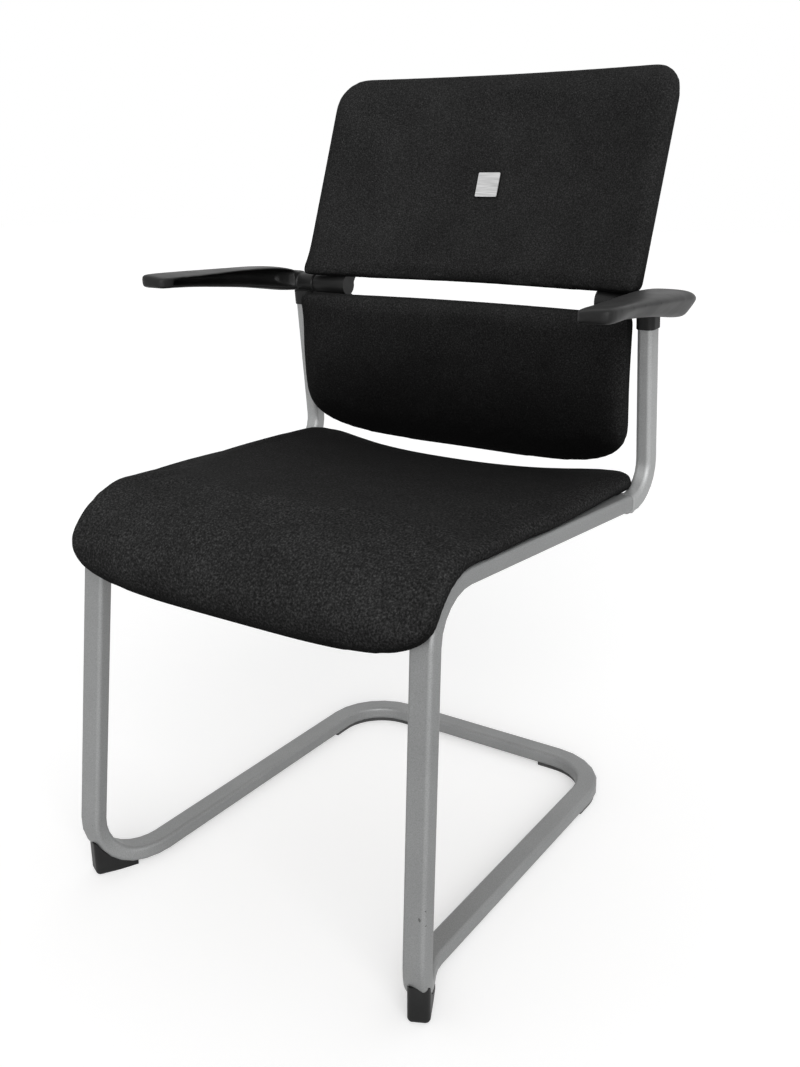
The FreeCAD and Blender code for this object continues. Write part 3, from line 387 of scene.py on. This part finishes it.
def pad(name, outline, middle, face, base, face_round, base_round, finish):
    """Closed pad: rays run from the middle to the outline, shares crowd towards the rim, and the
    face and the base are each drawn in by a quarter circle near the rim. face and base turn flat
    places and a drawn-in depth into points."""
    shares = 1 - (1 - np.linspace(0.0, 1.0, PAD_ROWS)) ** 2.0
    ring = even_outline(outline, PAD_RING)
    flat = middle + shares[:, None, None] * (ring - middle)
    a = flat[..., 0]
    b = flat[..., 1]
    gap = rim_distance(flat.reshape(-1, 2), ring).reshape(a.shape)
    front = face(a, b, quarter_round(gap, face_round(a, b)), gap)
    rear = base(a, b, quarter_round(gap, base_round), gap)
    rows = np.concatenate([front, rear[::-1]])
    return mesh_object(name, rows, grid_faces(len(rows), len(ring), True).tolist(), finish)


def swell(obj, held, cap, keep, voxel=0.005):
    """Upholstery pass: even remesh, cloth under pressure with base and sides held, travel capped,
    keep() as a last limit, a light smoothing and one subdivision."""
    bpy.context.view_layer.objects.active = obj
    remesh = obj.modifiers.new("even", "REMESH")
    remesh.mode = "VOXEL"
    remesh.voxel_size = voxel
    baked = bpy.data.meshes.new_from_object(obj.evaluated_get(bpy.context.evaluated_depsgraph_get()))
    obj.modifiers.clear()
    finish = obj.data.materials[0]
    obj.data = baked
    obj.data.materials.clear()
    obj.data.materials.append(finish)
    count = len(baked.vertices)
    rest = np.zeros(count * 3)
    normals = np.zeros(count * 3)
    baked.vertices.foreach_get("co", rest)
    baked.vertices.foreach_get("normal", normals)
    rest = rest.reshape(-1, 3)
    group = obj.vertex_groups.new(name="held")
    group.add([int(i) for i in np.nonzero(held(rest, normals.reshape(-1, 3)))[0]], 1.0, "REPLACE")
    cloth = obj.modifiers.new("cover", "CLOTH")
    cloth.settings.vertex_group_mass = "held"
    cloth.settings.quality = 5
    cloth.settings.tension_stiffness = 20
    cloth.settings.compression_stiffness = 20
    cloth.settings.shear_stiffness = 10
    cloth.settings.bending_stiffness = 2.0
    cloth.settings.use_pressure = True
    cloth.settings.uniform_pressure_force = 4.0
    cloth.settings.effector_weights.gravity = 0
    cloth.point_cache.frame_start = 1
    cloth.point_cache.frame_end = COVER_STEPS
    for step in range(1, COVER_STEPS + 1):
        bpy.context.scene.frame_set(step)
    shown = obj.evaluated_get(bpy.context.evaluated_depsgraph_get())
    moved = np.zeros(count * 3)
    shown.data.vertices.foreach_get("co", moved)
    travel = moved.reshape(-1, 3) - rest
    length = np.linalg.norm(travel, axis=1, keepdims=True)
    travel *= np.minimum(1.0, cap / np.maximum(length, 1e-9))
    obj.modifiers.clear()
    obj.vertex_groups.clear()
    obj.data.vertices.foreach_set("co", keep(rest + travel).ravel())
    obj.data.update()
    bpy.context.scene.frame_set(1)
    ease = obj.modifiers.new("ease", "SMOOTH")
    ease.factor = 0.5
    ease.iterations = 3
    fine = obj.modifiers.new("fine", "SUBSURF")
    fine.levels = 1
    fine.render_levels = 1
    for polygon in obj.data.polygons:
        polygon.use_smooth = True
    return obj


# Upper back

UPPER_HALF = 0.2405
UPPER_FOAM = 0.029
UPPER_OVER = 0.0018
UPPER_SAG = 0.0028
UPPER_CORNER_LIFT = 0.0030
UPPER_CORNER_Z = UPPER_Z + 0.0002
UPPER_TOP_CORNER = 0.037
UPPER_LOW_CORNER = 0.004
UPPER_SET = 0.034
UPPER_LEAN = 0.378
UPPER_CHORD = 0.2365
UPPER_MIDDLE = np.array([0.0, 0.81])
COVER_RISE = 0.004
RISE_REACH = 0.03
COVER_TRAVEL = 0.005
EDGE_ROUND = 0.018
EDGE_FADE = 0.02
REAR_ROUND = 0.007


def rise_share(gap):
    """How much of the cover's swell is left to the cloth, growing away from the rim."""
    return COVER_RISE * (1 - np.exp(-gap / RISE_REACH))


def upper_outline():
    """Level bottom that lifts a little towards small corners, straight sides, round top corners."""
    half = UPPER_HALF
    top = UPPER_Z + UPPER_HIGH + UPPER_OVER
    big = UPPER_TOP_CORNER
    small = UPPER_LOW_CORNER
    x = np.linspace(-half + small, half - small, 160)
    bottom = np.stack([x, UPPER_Z - UPPER_SAG + UPPER_CORNER_LIFT * (np.abs(x) / half) ** 5], -1)
    turn = np.linspace(0, math.pi / 2, 40)
    right_low = np.stack([half - small + small * np.sin(turn),
                          UPPER_CORNER_Z + small * (1 - np.cos(turn))], -1)
    right_top = np.stack([half - big + big * np.cos(turn), top - big + big * np.sin(turn)], -1)
    x = np.linspace(half - big, -half + big, 120)
    upper = np.stack([x, np.full_like(x, top)], -1)
    left_top = right_top[::-1] * [-1, 1]
    left_low = right_low[::-1] * [-1, 1]
    return np.vstack([bottom, right_low, right_top, upper, left_top, left_low])


def upper_face(x, z):
    """Front face: leaning sides with a hollow between them, deepest a little above the middle."""
    f = (z - UPPER_Z) / UPPER_HIGH
    hollow = 0.040 - 0.006 * f + 0.032 * f * (1 - f)
    return PIVOT_Y - UPPER_SET + UPPER_LEAN * (z - UPPER_Z) + hollow * (1 - (x / UPPER_CHORD) ** 2)


def upper_front(x, z, drawn, gap):
    """Front of the pad: the face, set back by the swell to come and by the rounded rim."""
    return np.stack([x, upper_face(x, z) + rise_share(gap) + drawn, z], -1)


def upper_rear(x, z, drawn, gap):
    """Rear of the pad: the face moved back by the foam, less the rounded rim."""
    return np.stack([x, upper_face(x, z) + UPPER_FOAM - drawn, z], -1)


def upper_keep(points):
    """Nothing comes forward of the drawn face."""
    points[:, 1] = np.maximum(points[:, 1], upper_face(points[:, 0], points[:, 2]))
    return points


def held_behind(points, normals):
    """Sides and rear: all that doesn't face forward."""
    return normals[:, 1] > HELD_FACING


def upper_round(x, z):
    """Broad soft edge at sides and top, a tighter one along the bottom."""
    return EDGE_ROUND - 0.010 * np.exp(-((z - UPPER_Z) / EDGE_FADE) ** 2)


upper_back = pad("upper_back_upholstery", upper_outline(), UPPER_MIDDLE, upper_front, upper_rear,
                 upper_round, REAR_ROUND, BACK_FABRIC)
swell(upper_back, held_behind, COVER_TRAVEL, upper_keep)
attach(upper_back, "upper_back")
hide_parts("upper_back_cushion")


# Lower back

LOWER_HALF = 0.2375
LOWER_FOAM = 0.027
LOWER_OVER = 0.0012
LOWER_UNDER = 0.0020
LOWER_CORNER = 0.008
BELLY = 0.080
BELLY_POWER = 3.4
LOWER_SET = 0.0435
LOWER_SWEEP = 0.018
LOWER_HOLLOW = 0.024
LOWER_CHORD = 0.2325
LOWER_MIDDLE = np.array([0.0, 0.575])


def lower_outline():
    """Straight top with small corners, upright sides, and a deep belly on a superellipse."""
    half = LOWER_HALF
    top = LOWER_Z + LOWER_OVER
    small = LOWER_CORNER
    waist = LOWER_Z - LOWER_HIGH + BELLY - LOWER_UNDER
    turn = np.linspace(0, math.pi, 260)
    power = 2 / BELLY_POWER
    c = np.cos(turn)
    s = np.sin(turn)
    low = np.stack([-half * np.sign(c) * np.abs(c) ** power, waist - BELLY * np.abs(s) ** power], -1)
    quarter = np.linspace(0, math.pi / 2, 40)
    right = np.stack([half - small + small * np.cos(quarter), top - small + small * np.sin(quarter)], -1)
    x = np.linspace(half - small, -half + small, 160)
    upper = np.stack([x, np.full_like(x, top)], -1)
    left = right[::-1] * [-1, 1]
    return np.vstack([low, right, upper, left])


def lower_face(x, z):
    """Front face: upright, hollowed across, its lower part swept back along a parabola."""
    f = np.clip((LOWER_Z - z) / LOWER_HIGH - 0.3, 0, None) / 0.7
    return PIVOT_Y - LOWER_SET + LOWER_SWEEP * f * f + LOWER_HOLLOW * (1 - (x / LOWER_CHORD) ** 2)


def lower_front(x, z, drawn, gap):
    """Front of the pad: the face, set back by the swell to come and by the rounded rim."""
    return np.stack([x, lower_face(x, z) + rise_share(gap) + drawn, z], -1)


def lower_rear(x, z, drawn, gap):
    """Rear of the pad: the face moved back by the foam, less the rounded rim."""
    return np.stack([x, lower_face(x, z) + LOWER_FOAM - drawn, z], -1)


def lower_keep(points):
    """Nothing comes forward of the drawn face."""
    points[:, 1] = np.maximum(points[:, 1], lower_face(points[:, 0], points[:, 2]))
    return points


def lower_round(x, z):
    """Broad soft edge at sides and belly, a tighter one along the top."""
    return EDGE_ROUND - 0.008 * np.exp(-((z - LOWER_Z) / EDGE_FADE) ** 2)


lower_back = pad("lower_back_upholstery", lower_outline(), LOWER_MIDDLE, lower_front, lower_rear,
                 lower_round, REAR_ROUND, BACK_FABRIC)
swell(lower_back, held_behind, COVER_TRAVEL, lower_keep)
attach(lower_back, "lower_back")
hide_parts("lower_back_cushion")


# Seat

SEAT_BASE = 0.0014
SEAT_APRON = math.radians(98.0)
SEAT_REF = 0.0795
SEAT_LONG = SEAT_FLAT_LONG + SEAT_REF * SEAT_APRON
SEAT_HALF_REAR = 0.2460
SEAT_SPREAD = 0.0120
SEAT_TAPER = 0.0195
REAR_CORNER_LONG = 0.044
REAR_CORNER_WIDE = 0.048
APRON_FROM = math.radians(50)
APRON_POWER = 3.6
SEAT_SINK = 0.0004
COVER_REAR = 0.0220
COVER_FRONT = 0.0055
COVER_CROWN = 0.0050
CROWN_HALF = 0.245
CROWN_RIM = 0.06
SEAT_EDGE = 0.014
SEAT_BASE_ROUND = 0.003
SEAT_MIDDLE = np.array([0.0, 0.24])
SEAT_VOXEL = 0.0052


def seat_side(s):
    """Half width along the seat: a parabola, widest over the middle of the rails."""
    u = np.clip(s / SEAT_FLAT_LONG, 0, 1)
    return SEAT_HALF_REAR + SEAT_SPREAD * u - SEAT_TAPER * u * u


def seat_outline():
    """Half outline from rear to apron: elliptic rear corners, nearly straight sides, and an apron
    that closes on a superellipse; mirrored to the other side."""
    s = np.concatenate([np.linspace(0, 0.05, 70) ** 2 / 0.05, np.linspace(0.052, 0.42, 90),
                        SEAT_LONG - (SEAT_LONG - 0.42) * np.linspace(1, 0, 160) ** 2])
    side = seat_side(s)
    back = np.clip(1 - s / REAR_CORNER_LONG, 0, 1)
    side = side - REAR_CORNER_WIDE * (1 - np.sqrt(1 - back ** 2))
    start = SEAT_FLAT_LONG + SEAT_REF * APRON_FROM
    front = np.clip((s - start) / (SEAT_LONG - start), 0, 1)
    side = side * (1 - front ** APRON_POWER) ** (1 / APRON_POWER)
    right = np.stack([side, s], -1)
    return np.vstack([right, right[::-1] * [-1, 1]])


def seat_point(x, s, lift):
    """Turns a place along the seat and a height over the rails into a point: straight along the
    rails, hollowed across towards the rear, then round the knee bend's axis."""
    flat = np.clip(s, 0, SEAT_FLAT_LONG)
    slope = math.hypot(1, RAIL_SLOPE)
    y = SEAT_REAR_Y - flat / slope
    z = RAIL_TOP_REAR - RAIL_SLOPE * flat / slope
    back = np.clip((y - SEAT_FLAT_Y) / (SEAT_REAR_Y - SEAT_FLAT_Y), 0, 1)
    drop = (SEAT_DISH * back ** 1.5) * np.clip(1 - (x / DISH_HALF) ** 2, 0, None) + SEAT_SINK
    up = lift - drop
    turn = KNEE_FROM + np.clip(s - SEAT_FLAT_LONG, 0, None) / SEAT_REF
    radius = KNEE_RADIUS + up
    bent = s > SEAT_FLAT_LONG
    y = np.where(bent, KNEE_Y + radius * np.cos(turn), y - RAIL_SLOPE / slope * up)
    z = np.where(bent, KNEE_Z + radius * np.sin(turn), z + up / slope)
    return np.stack([x, y, z], -1)


def seat_top(x, s, drawn, gap):
    """Top of the seat: the cover's height, less the swell to come and the rounded rim."""
    return seat_point(x, s, seat_height(x, s, gap) - rise_share(gap) - drawn)


def seat_height(x, s, gap):
    """Cover height over the rails: thicker to the front, crowned across."""
    front = np.clip(s / SEAT_FLAT_LONG, 0, 1)
    crown = COVER_CROWN * (1 - (x / CROWN_HALF) ** 2) * np.clip(gap / CROWN_RIM, 0, 1)
    return COVER_REAR + COVER_FRONT * front + crown


def seat_bottom(x, s, drawn, gap):
    """Underside of the seat: just over the rails, drawn in at the rim."""
    return seat_point(x, s, SEAT_BASE + drawn)


def held_below(points, normals):
    """Sides and base: all that doesn't face up from the rails or out from the knee's axis."""
    knee = points[:, 1] < KNEE_Y
    inward = np.stack([np.zeros(len(points)), KNEE_Y - points[:, 1], KNEE_Z - points[:, 2]], -1)
    inward /= np.linalg.norm(inward, axis=1, keepdims=True)
    inward[~knee] = (0, 0, -1)
    return (normals * inward).sum(1) > HELD_FACING


def seat_keep(points):
    """The seat's swell is limited by its travel alone."""
    return points


def seat_round(x, s):
    """One soft edge all round."""
    return np.full_like(x, SEAT_EDGE)


seat = pad("seat_upholstery", seat_outline(), SEAT_MIDDLE, seat_top, seat_bottom, seat_round,
           SEAT_BASE_ROUND, SEAT_FABRIC)
swell(seat, held_below, COVER_RISE, seat_keep, voxel=SEAT_VOXEL)
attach(seat, "frame")
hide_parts("seat_cushion")


# Armrests

ARM_INNER_X = 0.2621
ARM_LONG = 0.2690
ARM_TIP_Y = PIVOT_Y + 0.009 - ARM_LONG
HUB_FROM_X = 0.2356
HUB_TO_X = 0.2686
HUB_RADIUS = 0.0135
HUB_CHAMFER = 0.0008
HUB_SIDES = 64
TIP_TILT = 0.0045
POCKET_DEEP = 0.58
POCKET_END = 0.905
ARM_VOXEL = 0.0012
RIGHT_DROOP = -0.0024
LEFT_DROOP = 0.0016

# Share of the length, then inner edge, outer edge, underside and top in mm from inner line and pivot
ARM_ROWS = np.array((
    (-0.006, 21.0, 37.5, 14.5, 20.0),
    (0.000, 15.0, 42.5, 12.2, 23.0),
    (0.010, 11.8, 45.0, 11.0, 24.6),
    (0.030, 9.2, 47.0, 10.6, 25.3),
    (0.071, 7.5, 48.5, 10.4, 25.6),
    (0.167, 6.0, 50.0, 9.4, 25.7),
    (0.342, 4.0, 52.0, 6.0, 25.7),
    (0.544, 1.5, 53.0, 1.2, 25.6),
    (0.709, 0.0, 52.5, -4.2, 25.0),
    (0.819, 0.0, 50.5, -8.0, 23.2),
    (0.892, 0.0, 45.5, -9.5, 20.0),
    (0.947, 0.0, 37.5, -10.0, 16.0),
    (1.000, 0.0, 25.0, -9.0, 12.5),
    (1.015, 4.0, 14.0, -3.0, 6.0),
))


def through_rows(rows, shares):
    """Cubic Hermite curve through the rows, slopes taken from the neighbouring rows."""
    f = rows[:, 0]
    values = rows[:, 1:]
    slopes = np.gradient(values, f, axis=0)
    i = np.clip(np.searchsorted(f, shares) - 1, 0, len(f) - 2)
    span = (f[i + 1] - f[i])[:, None]
    t = (shares - f[i])[:, None] / span
    return ((2 * t ** 3 - 3 * t ** 2 + 1) * values[i] + (t ** 3 - 2 * t ** 2 + t) * span * slopes[i]
            + (3 * t ** 2 - 2 * t ** 3) * values[i + 1] + (t ** 3 - t ** 2) * span * slopes[i + 1])


def ease_step(value):
    """Smooth step from 0 to 1: 3t^2 - 2t^3."""
    t = np.clip(value, 0, 1)
    return t * t * (3 - 2 * t)


def arm_grid(droop):
    """Arm surface: a control outline across (crowned top, outer edge that is round at the tip and leans
    into an undercut flank behind it, inner pocket) with its corners cut three times, carried along the
    rows from tip to stern; towards the tip the top falls a little to the inside. droop is how far the
    tip stands over or under level."""
    shares = np.concatenate([-0.006 + 0.106 * np.linspace(0, 1, 30) ** 2, np.linspace(0.11, 0.93, 70),
                             np.linspace(0.94, 1.015, 16)])
    rows = through_rows(ARM_ROWS, shares) * MM
    stern = ease_step((POCKET_END - shares) / 0.03)
    low = POCKET_DEEP * ease_step((shares - 0.06) / 0.05) * stern
    high = POCKET_DEEP * ease_step((shares - 0.10) / 0.06) * stern
    flat = np.zeros_like(shares)
    lean = ease_step((shares - 0.01) / 0.26)
    across = ((flat, 0.95), (flat + 0.12, 0.99), (flat + 0.40, 1.0), (flat + 0.74, 0.985),
              (0.91 + 0.02 * lean, 0.95 - 0.05 * lean), (flat + 1.0, 0.80 - 0.05 * lean),
              (1.0 - 0.015 * lean, 0.55 + 0.09 * lean), (1.0 - 0.14 * lean, 0.30 + 0.04 * lean),
              (0.95 - 0.19 * lean, 0.06 + 0.06 * lean), (0.82 - 0.18 * lean, 0.015 * lean),
              (flat + 0.34, 0.0), (flat + 0.05, 0.0), (flat, 0.08), (flat, 0.19),
              (low, 0.24), (high, 0.80), (flat, 0.87))
    loop = np.stack([np.stack([p, np.broadcast_to(q, p.shape)], -1) for p, q in across], 1)
    for _ in range(3):
        ahead = np.roll(loop, -1, axis=1)
        cut = np.stack([loop * 0.75 + ahead * 0.25, loop * 0.25 + ahead * 0.75], 2)
        loop = cut.reshape(len(shares), -1, 2)
    near, far, under, top = (rows[:, i:i + 1] for i in range(4))
    x = ARM_INNER_X + near + loop[..., 0] * (far - near)
    tilt = (1 - ease_step((shares - 0.15) / 0.5))[:, None] * (loop[..., 0] - 0.5)
    z = PIVOT_Z + under + loop[..., 1] * (top - under)
    z = z + tilt * TIP_TILT * loop[..., 1] + droop * (1 - shares[:, None])
    y = np.broadcast_to((ARM_TIP_Y + ARM_LONG * shares)[:, None], x.shape)
    return np.stack([x, y, z], -1)


def hub_grid():
    """Hub: a round bar along the pivot line with small end chamfers, closed to its axis."""
    reach = np.array((HUB_FROM_X, HUB_FROM_X, HUB_FROM_X + HUB_CHAMFER, HUB_TO_X - HUB_CHAMFER,
                      HUB_TO_X, HUB_TO_X))
    radius = HUB_RADIUS - np.array((HUB_RADIUS, HUB_CHAMFER, 0, 0, HUB_CHAMFER, HUB_RADIUS))[:, None]
    turn = np.linspace(0, 2 * math.pi, HUB_SIDES, endpoint=False)
    x = np.broadcast_to(reach[:, None], (len(reach), HUB_SIDES))
    return np.stack([x, PIVOT_Y + radius * np.cos(turn), PIVOT_Z + radius * np.sin(turn)], -1)


def tube_faces(grid, start):
    """Quads of a grid closed round, with an end cap on each end."""
    rows, columns = grid.shape[:2]
    faces = (grid_faces(rows, columns, True) + start).tolist()
    ring = np.arange(columns) + start
    return faces + [ring[::-1].tolist(), (ring + (rows - 1) * columns).tolist()]


def make_arm(side, droop, name, node):
    """One moulding: arm and hub joined by an even remesh and eased; side is 1 or -1 across."""
    arm = arm_grid(droop)
    hub = hub_grid()
    points = np.concatenate([arm.reshape(-1, 3), hub.reshape(-1, 3)]) * (side, 1, 1)
    faces = tube_faces(arm, 0) + tube_faces(hub, arm.shape[0] * arm.shape[1])
    obj = mesh_object(name, points, faces, NYLON)
    remesh = obj.modifiers.new("one_moulding", "REMESH")
    remesh.mode = "VOXEL"
    remesh.voxel_size = ARM_VOXEL
    remesh.use_smooth_shade = True
    ease = obj.modifiers.new("ease", "SMOOTH")
    ease.factor = 0.5
    ease.iterations = 4
    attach(obj, "frame")
    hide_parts(node)


make_arm(1, RIGHT_DROOP, "armrest_moulding_right", "armrest_right")
make_arm(-1, LEFT_DROOP, "armrest_moulding_left", "armrest_left")


# Front glides

GLIDE_CORNER = np.array((0.2340, -0.3028))
GLIDE_TURN = math.radians(26.0)
GLIDE_HALF = 0.0120
GLIDE_FROM = 0.0012
GLIDE_TO = 0.0530
GLIDE_SHIFT = 0.002
GLIDE_ROUND = 0.0055
GLIDE_TOP = 0.044
GLIDE_TOE = 0.0060
GLIDE_TOE_FALL = 0.0045
GLIDE_TOE_LONG = 0.03
GLIDE_TOP_ROUND = 0.001
GLIDE_MIDDLE = np.array([0.0, 0.028])
BEND_BACK = 0.0613
BEND_Z = 0.0700
BEND_UNDER = 0.0625


def glide_outline():
    """Plan of the wedge, across and along the foot: rounded front corners, square rear."""
    turn = np.linspace(0, math.pi / 2, 24)
    r = GLIDE_ROUND
    right = np.stack([GLIDE_HALF - r + r * np.sin(turn), GLIDE_FROM + r * (1 - np.cos(turn))], -1)
    left = right[::-1] * [-1, 1]
    return np.vstack([right, [(GLIDE_HALF, GLIDE_TO), (-GLIDE_HALF, GLIDE_TO)], left])


def make_glide(side, name, node):
    """Wedge: flat on the floor with a rounded lower edge, its top on the circle of the bend's underside."""
    def place(u, v, z):
        """Across and along the foot turned into the frame's x and y."""
        x = GLIDE_CORNER[0] + (u + GLIDE_SHIFT) * math.cos(GLIDE_TURN) - v * math.sin(GLIDE_TURN)
        y = GLIDE_CORNER[1] + (u + GLIDE_SHIFT) * math.sin(GLIDE_TURN) + v * math.cos(GLIDE_TURN)
        return np.stack([side * x, y, z], -1)

    def floor_face(u, v, drawn, gap):
        """On the floor, lifted by the rounded edge."""
        return place(u, v, drawn)

    def tube_face(u, v, drawn, gap):
        """Circle of the bend's underside, cut off level at the top."""
        rise = BEND_Z - np.sqrt(np.clip(BEND_UNDER ** 2 - (v - BEND_BACK) ** 2, 0, None))
        return place(u, v, np.minimum(rise, GLIDE_TOP))

    def edge_round(u, v):
        """Round toe, falling to a small edge behind it."""
        return GLIDE_TOE - GLIDE_TOE_FALL * np.clip(v / GLIDE_TOE_LONG, 0, 1)

    obj = pad(name, glide_outline(), GLIDE_MIDDLE, floor_face, tube_face, edge_round, GLIDE_TOP_ROUND, GLIDE)
    for polygon in obj.data.polygons:
        polygon.use_smooth = True
    obj.modifiers.new("soften", "NODES").node_group = SOFTEN
    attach(obj, "frame")
    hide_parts(node)


make_glide(1, "front_glide_moulding_right", "front_glide_right")
make_glide(-1, "front_glide_moulding_left", "front_glide_left")


# Stage

FLOOR_HALF = 14.0
ROOM_LIGHT = 0.50
FLOOR_GLOW = 0.43
LAMPS = (
    ("key", 0.15, 45, Vector((0.05, -0.30, -0.95))),
    ("fill", 3.0, 60, Vector((-0.60, 0.74, -0.28))),
)

# The photograph's eye, solved for its 800 by 1067 frame: metres, degrees, pixels
EYE = (0.72296, -1.06932, 0.81795)
EYE_YAW = 33.436
EYE_PITCH = 18.117
EYE_ROLL = 0.23
EYE_FOCAL = 1112.91
PHOTO_HIGH = 1067.0
SENSOR = 36.0


def shown_ray(tree):
    """1 on rays that show the room itself: the camera's, reflections and what glass lets through."""
    path = add(tree, "ShaderNodeLightPath")
    shiny = add(tree, "ShaderNodeMath", {"operation": "MAXIMUM"}, _0=(path, "Is Glossy Ray"),
                _1=(path, "Is Transmission Ray"))
    return add(tree, "ShaderNodeMath", {"operation": "MAXIMUM"}, _0=(path, "Is Camera Ray"),
               _1=(shiny, "Value"))


def build_stage():
    """Pale floor that keeps the shadow, white world for the camera and reflections, and two soft lamps."""
    world = bpy.data.worlds.new("white_room")
    bpy.context.scene.world = world
    world.use_nodes = True
    tree = world.node_tree
    seen = shown_ray(tree)
    level = add(tree, "ShaderNodeMapRange", Value=(seen, "Value"), To_Min=ROOM_LIGHT, To_Max=1.0)
    tree.links.new(level.outputs["Result"], tree.nodes["Background"].inputs["Strength"])
    tree.nodes["Background"].inputs["Color"].default_value = linear("#ffffff")

    corners = np.array([(-1, -1, 0), (1, -1, 0), (1, 1, 0), (-1, 1, 0)]) * FLOOR_HALF
    floor = mesh_object("pale_floor", corners, [(0, 1, 2, 3)], None)
    mat = bpy.data.materials.new("pale_floor")
    mat.use_nodes = True
    tree = mat.node_tree
    tree.nodes.clear()
    seen = shown_ray(tree)
    lift = add(tree, "ShaderNodeMapRange", Value=(seen, "Value"), To_Min=0.0, To_Max=FLOOR_GLOW)
    tone = add(tree, "ShaderNodeMix", {"data_type": "RGBA"}, _0=(seen, "Value"), _6=linear("#606060"),
               _7=linear("#e0e0e0"))
    matt = add(tree, "ShaderNodeBsdfDiffuse", Color=(tone, 2))
    glow = add(tree, "ShaderNodeEmission", Color=linear("#ffffff"), Strength=(lift, "Result"))
    both = add(tree, "ShaderNodeAddShader", _0=(matt, "BSDF"), _1=(glow, "Emission"))
    add(tree, "ShaderNodeOutputMaterial", Surface=(both, "Shader"))
    floor.data.materials.clear()
    floor.data.materials.append(mat)

    for name, energy, spread, aim in LAMPS:
        data = bpy.data.lights.new(name, "SUN")
        data.energy = energy
        data.angle = math.radians(spread)
        lamp = bpy.data.objects.new(name, data)
        lamp.rotation_mode = "QUATERNION"
        lamp.rotation_quaternion = aim.to_track_quat("-Z", "Y")
        bpy.context.scene.collection.objects.link(lamp)


def place_camera():
    """Camera at the photograph's eye, turned by yaw, then pitch, then roll."""
    yaw = math.radians(EYE_YAW)
    pitch = math.radians(EYE_PITCH)
    roll = math.radians(EYE_ROLL)
    ahead = Vector((-math.sin(yaw) * math.cos(pitch), math.cos(yaw) * math.cos(pitch), -math.sin(pitch)))
    right = Vector((math.cos(yaw), math.sin(yaw), 0))
    above = right.cross(ahead)
    side = right * math.cos(roll) - above * math.sin(roll)
    up = above * math.cos(roll) + right * math.sin(roll)
    data = bpy.data.cameras.new("photo_eye")
    data.sensor_fit = "VERTICAL"
    data.sensor_height = SENSOR
    data.lens = EYE_FOCAL * SENSOR / PHOTO_HIGH
    data.clip_end = 100
    camera = bpy.data.objects.new("photo_eye", data)
    camera.matrix_world = Matrix((
        (side.x, up.x, -ahead.x, EYE[0]),
        (side.y, up.y, -ahead.y, EYE[1]),
        (side.z, up.z, -ahead.z, EYE[2]),
        (0, 0, 0, 1),
    ))
    bpy.context.scene.collection.objects.link(camera)
    bpy.context.scene.camera = camera


build_stage()
place_camera()
bpy.context.scene.view_settings.view_transform = "Standard"
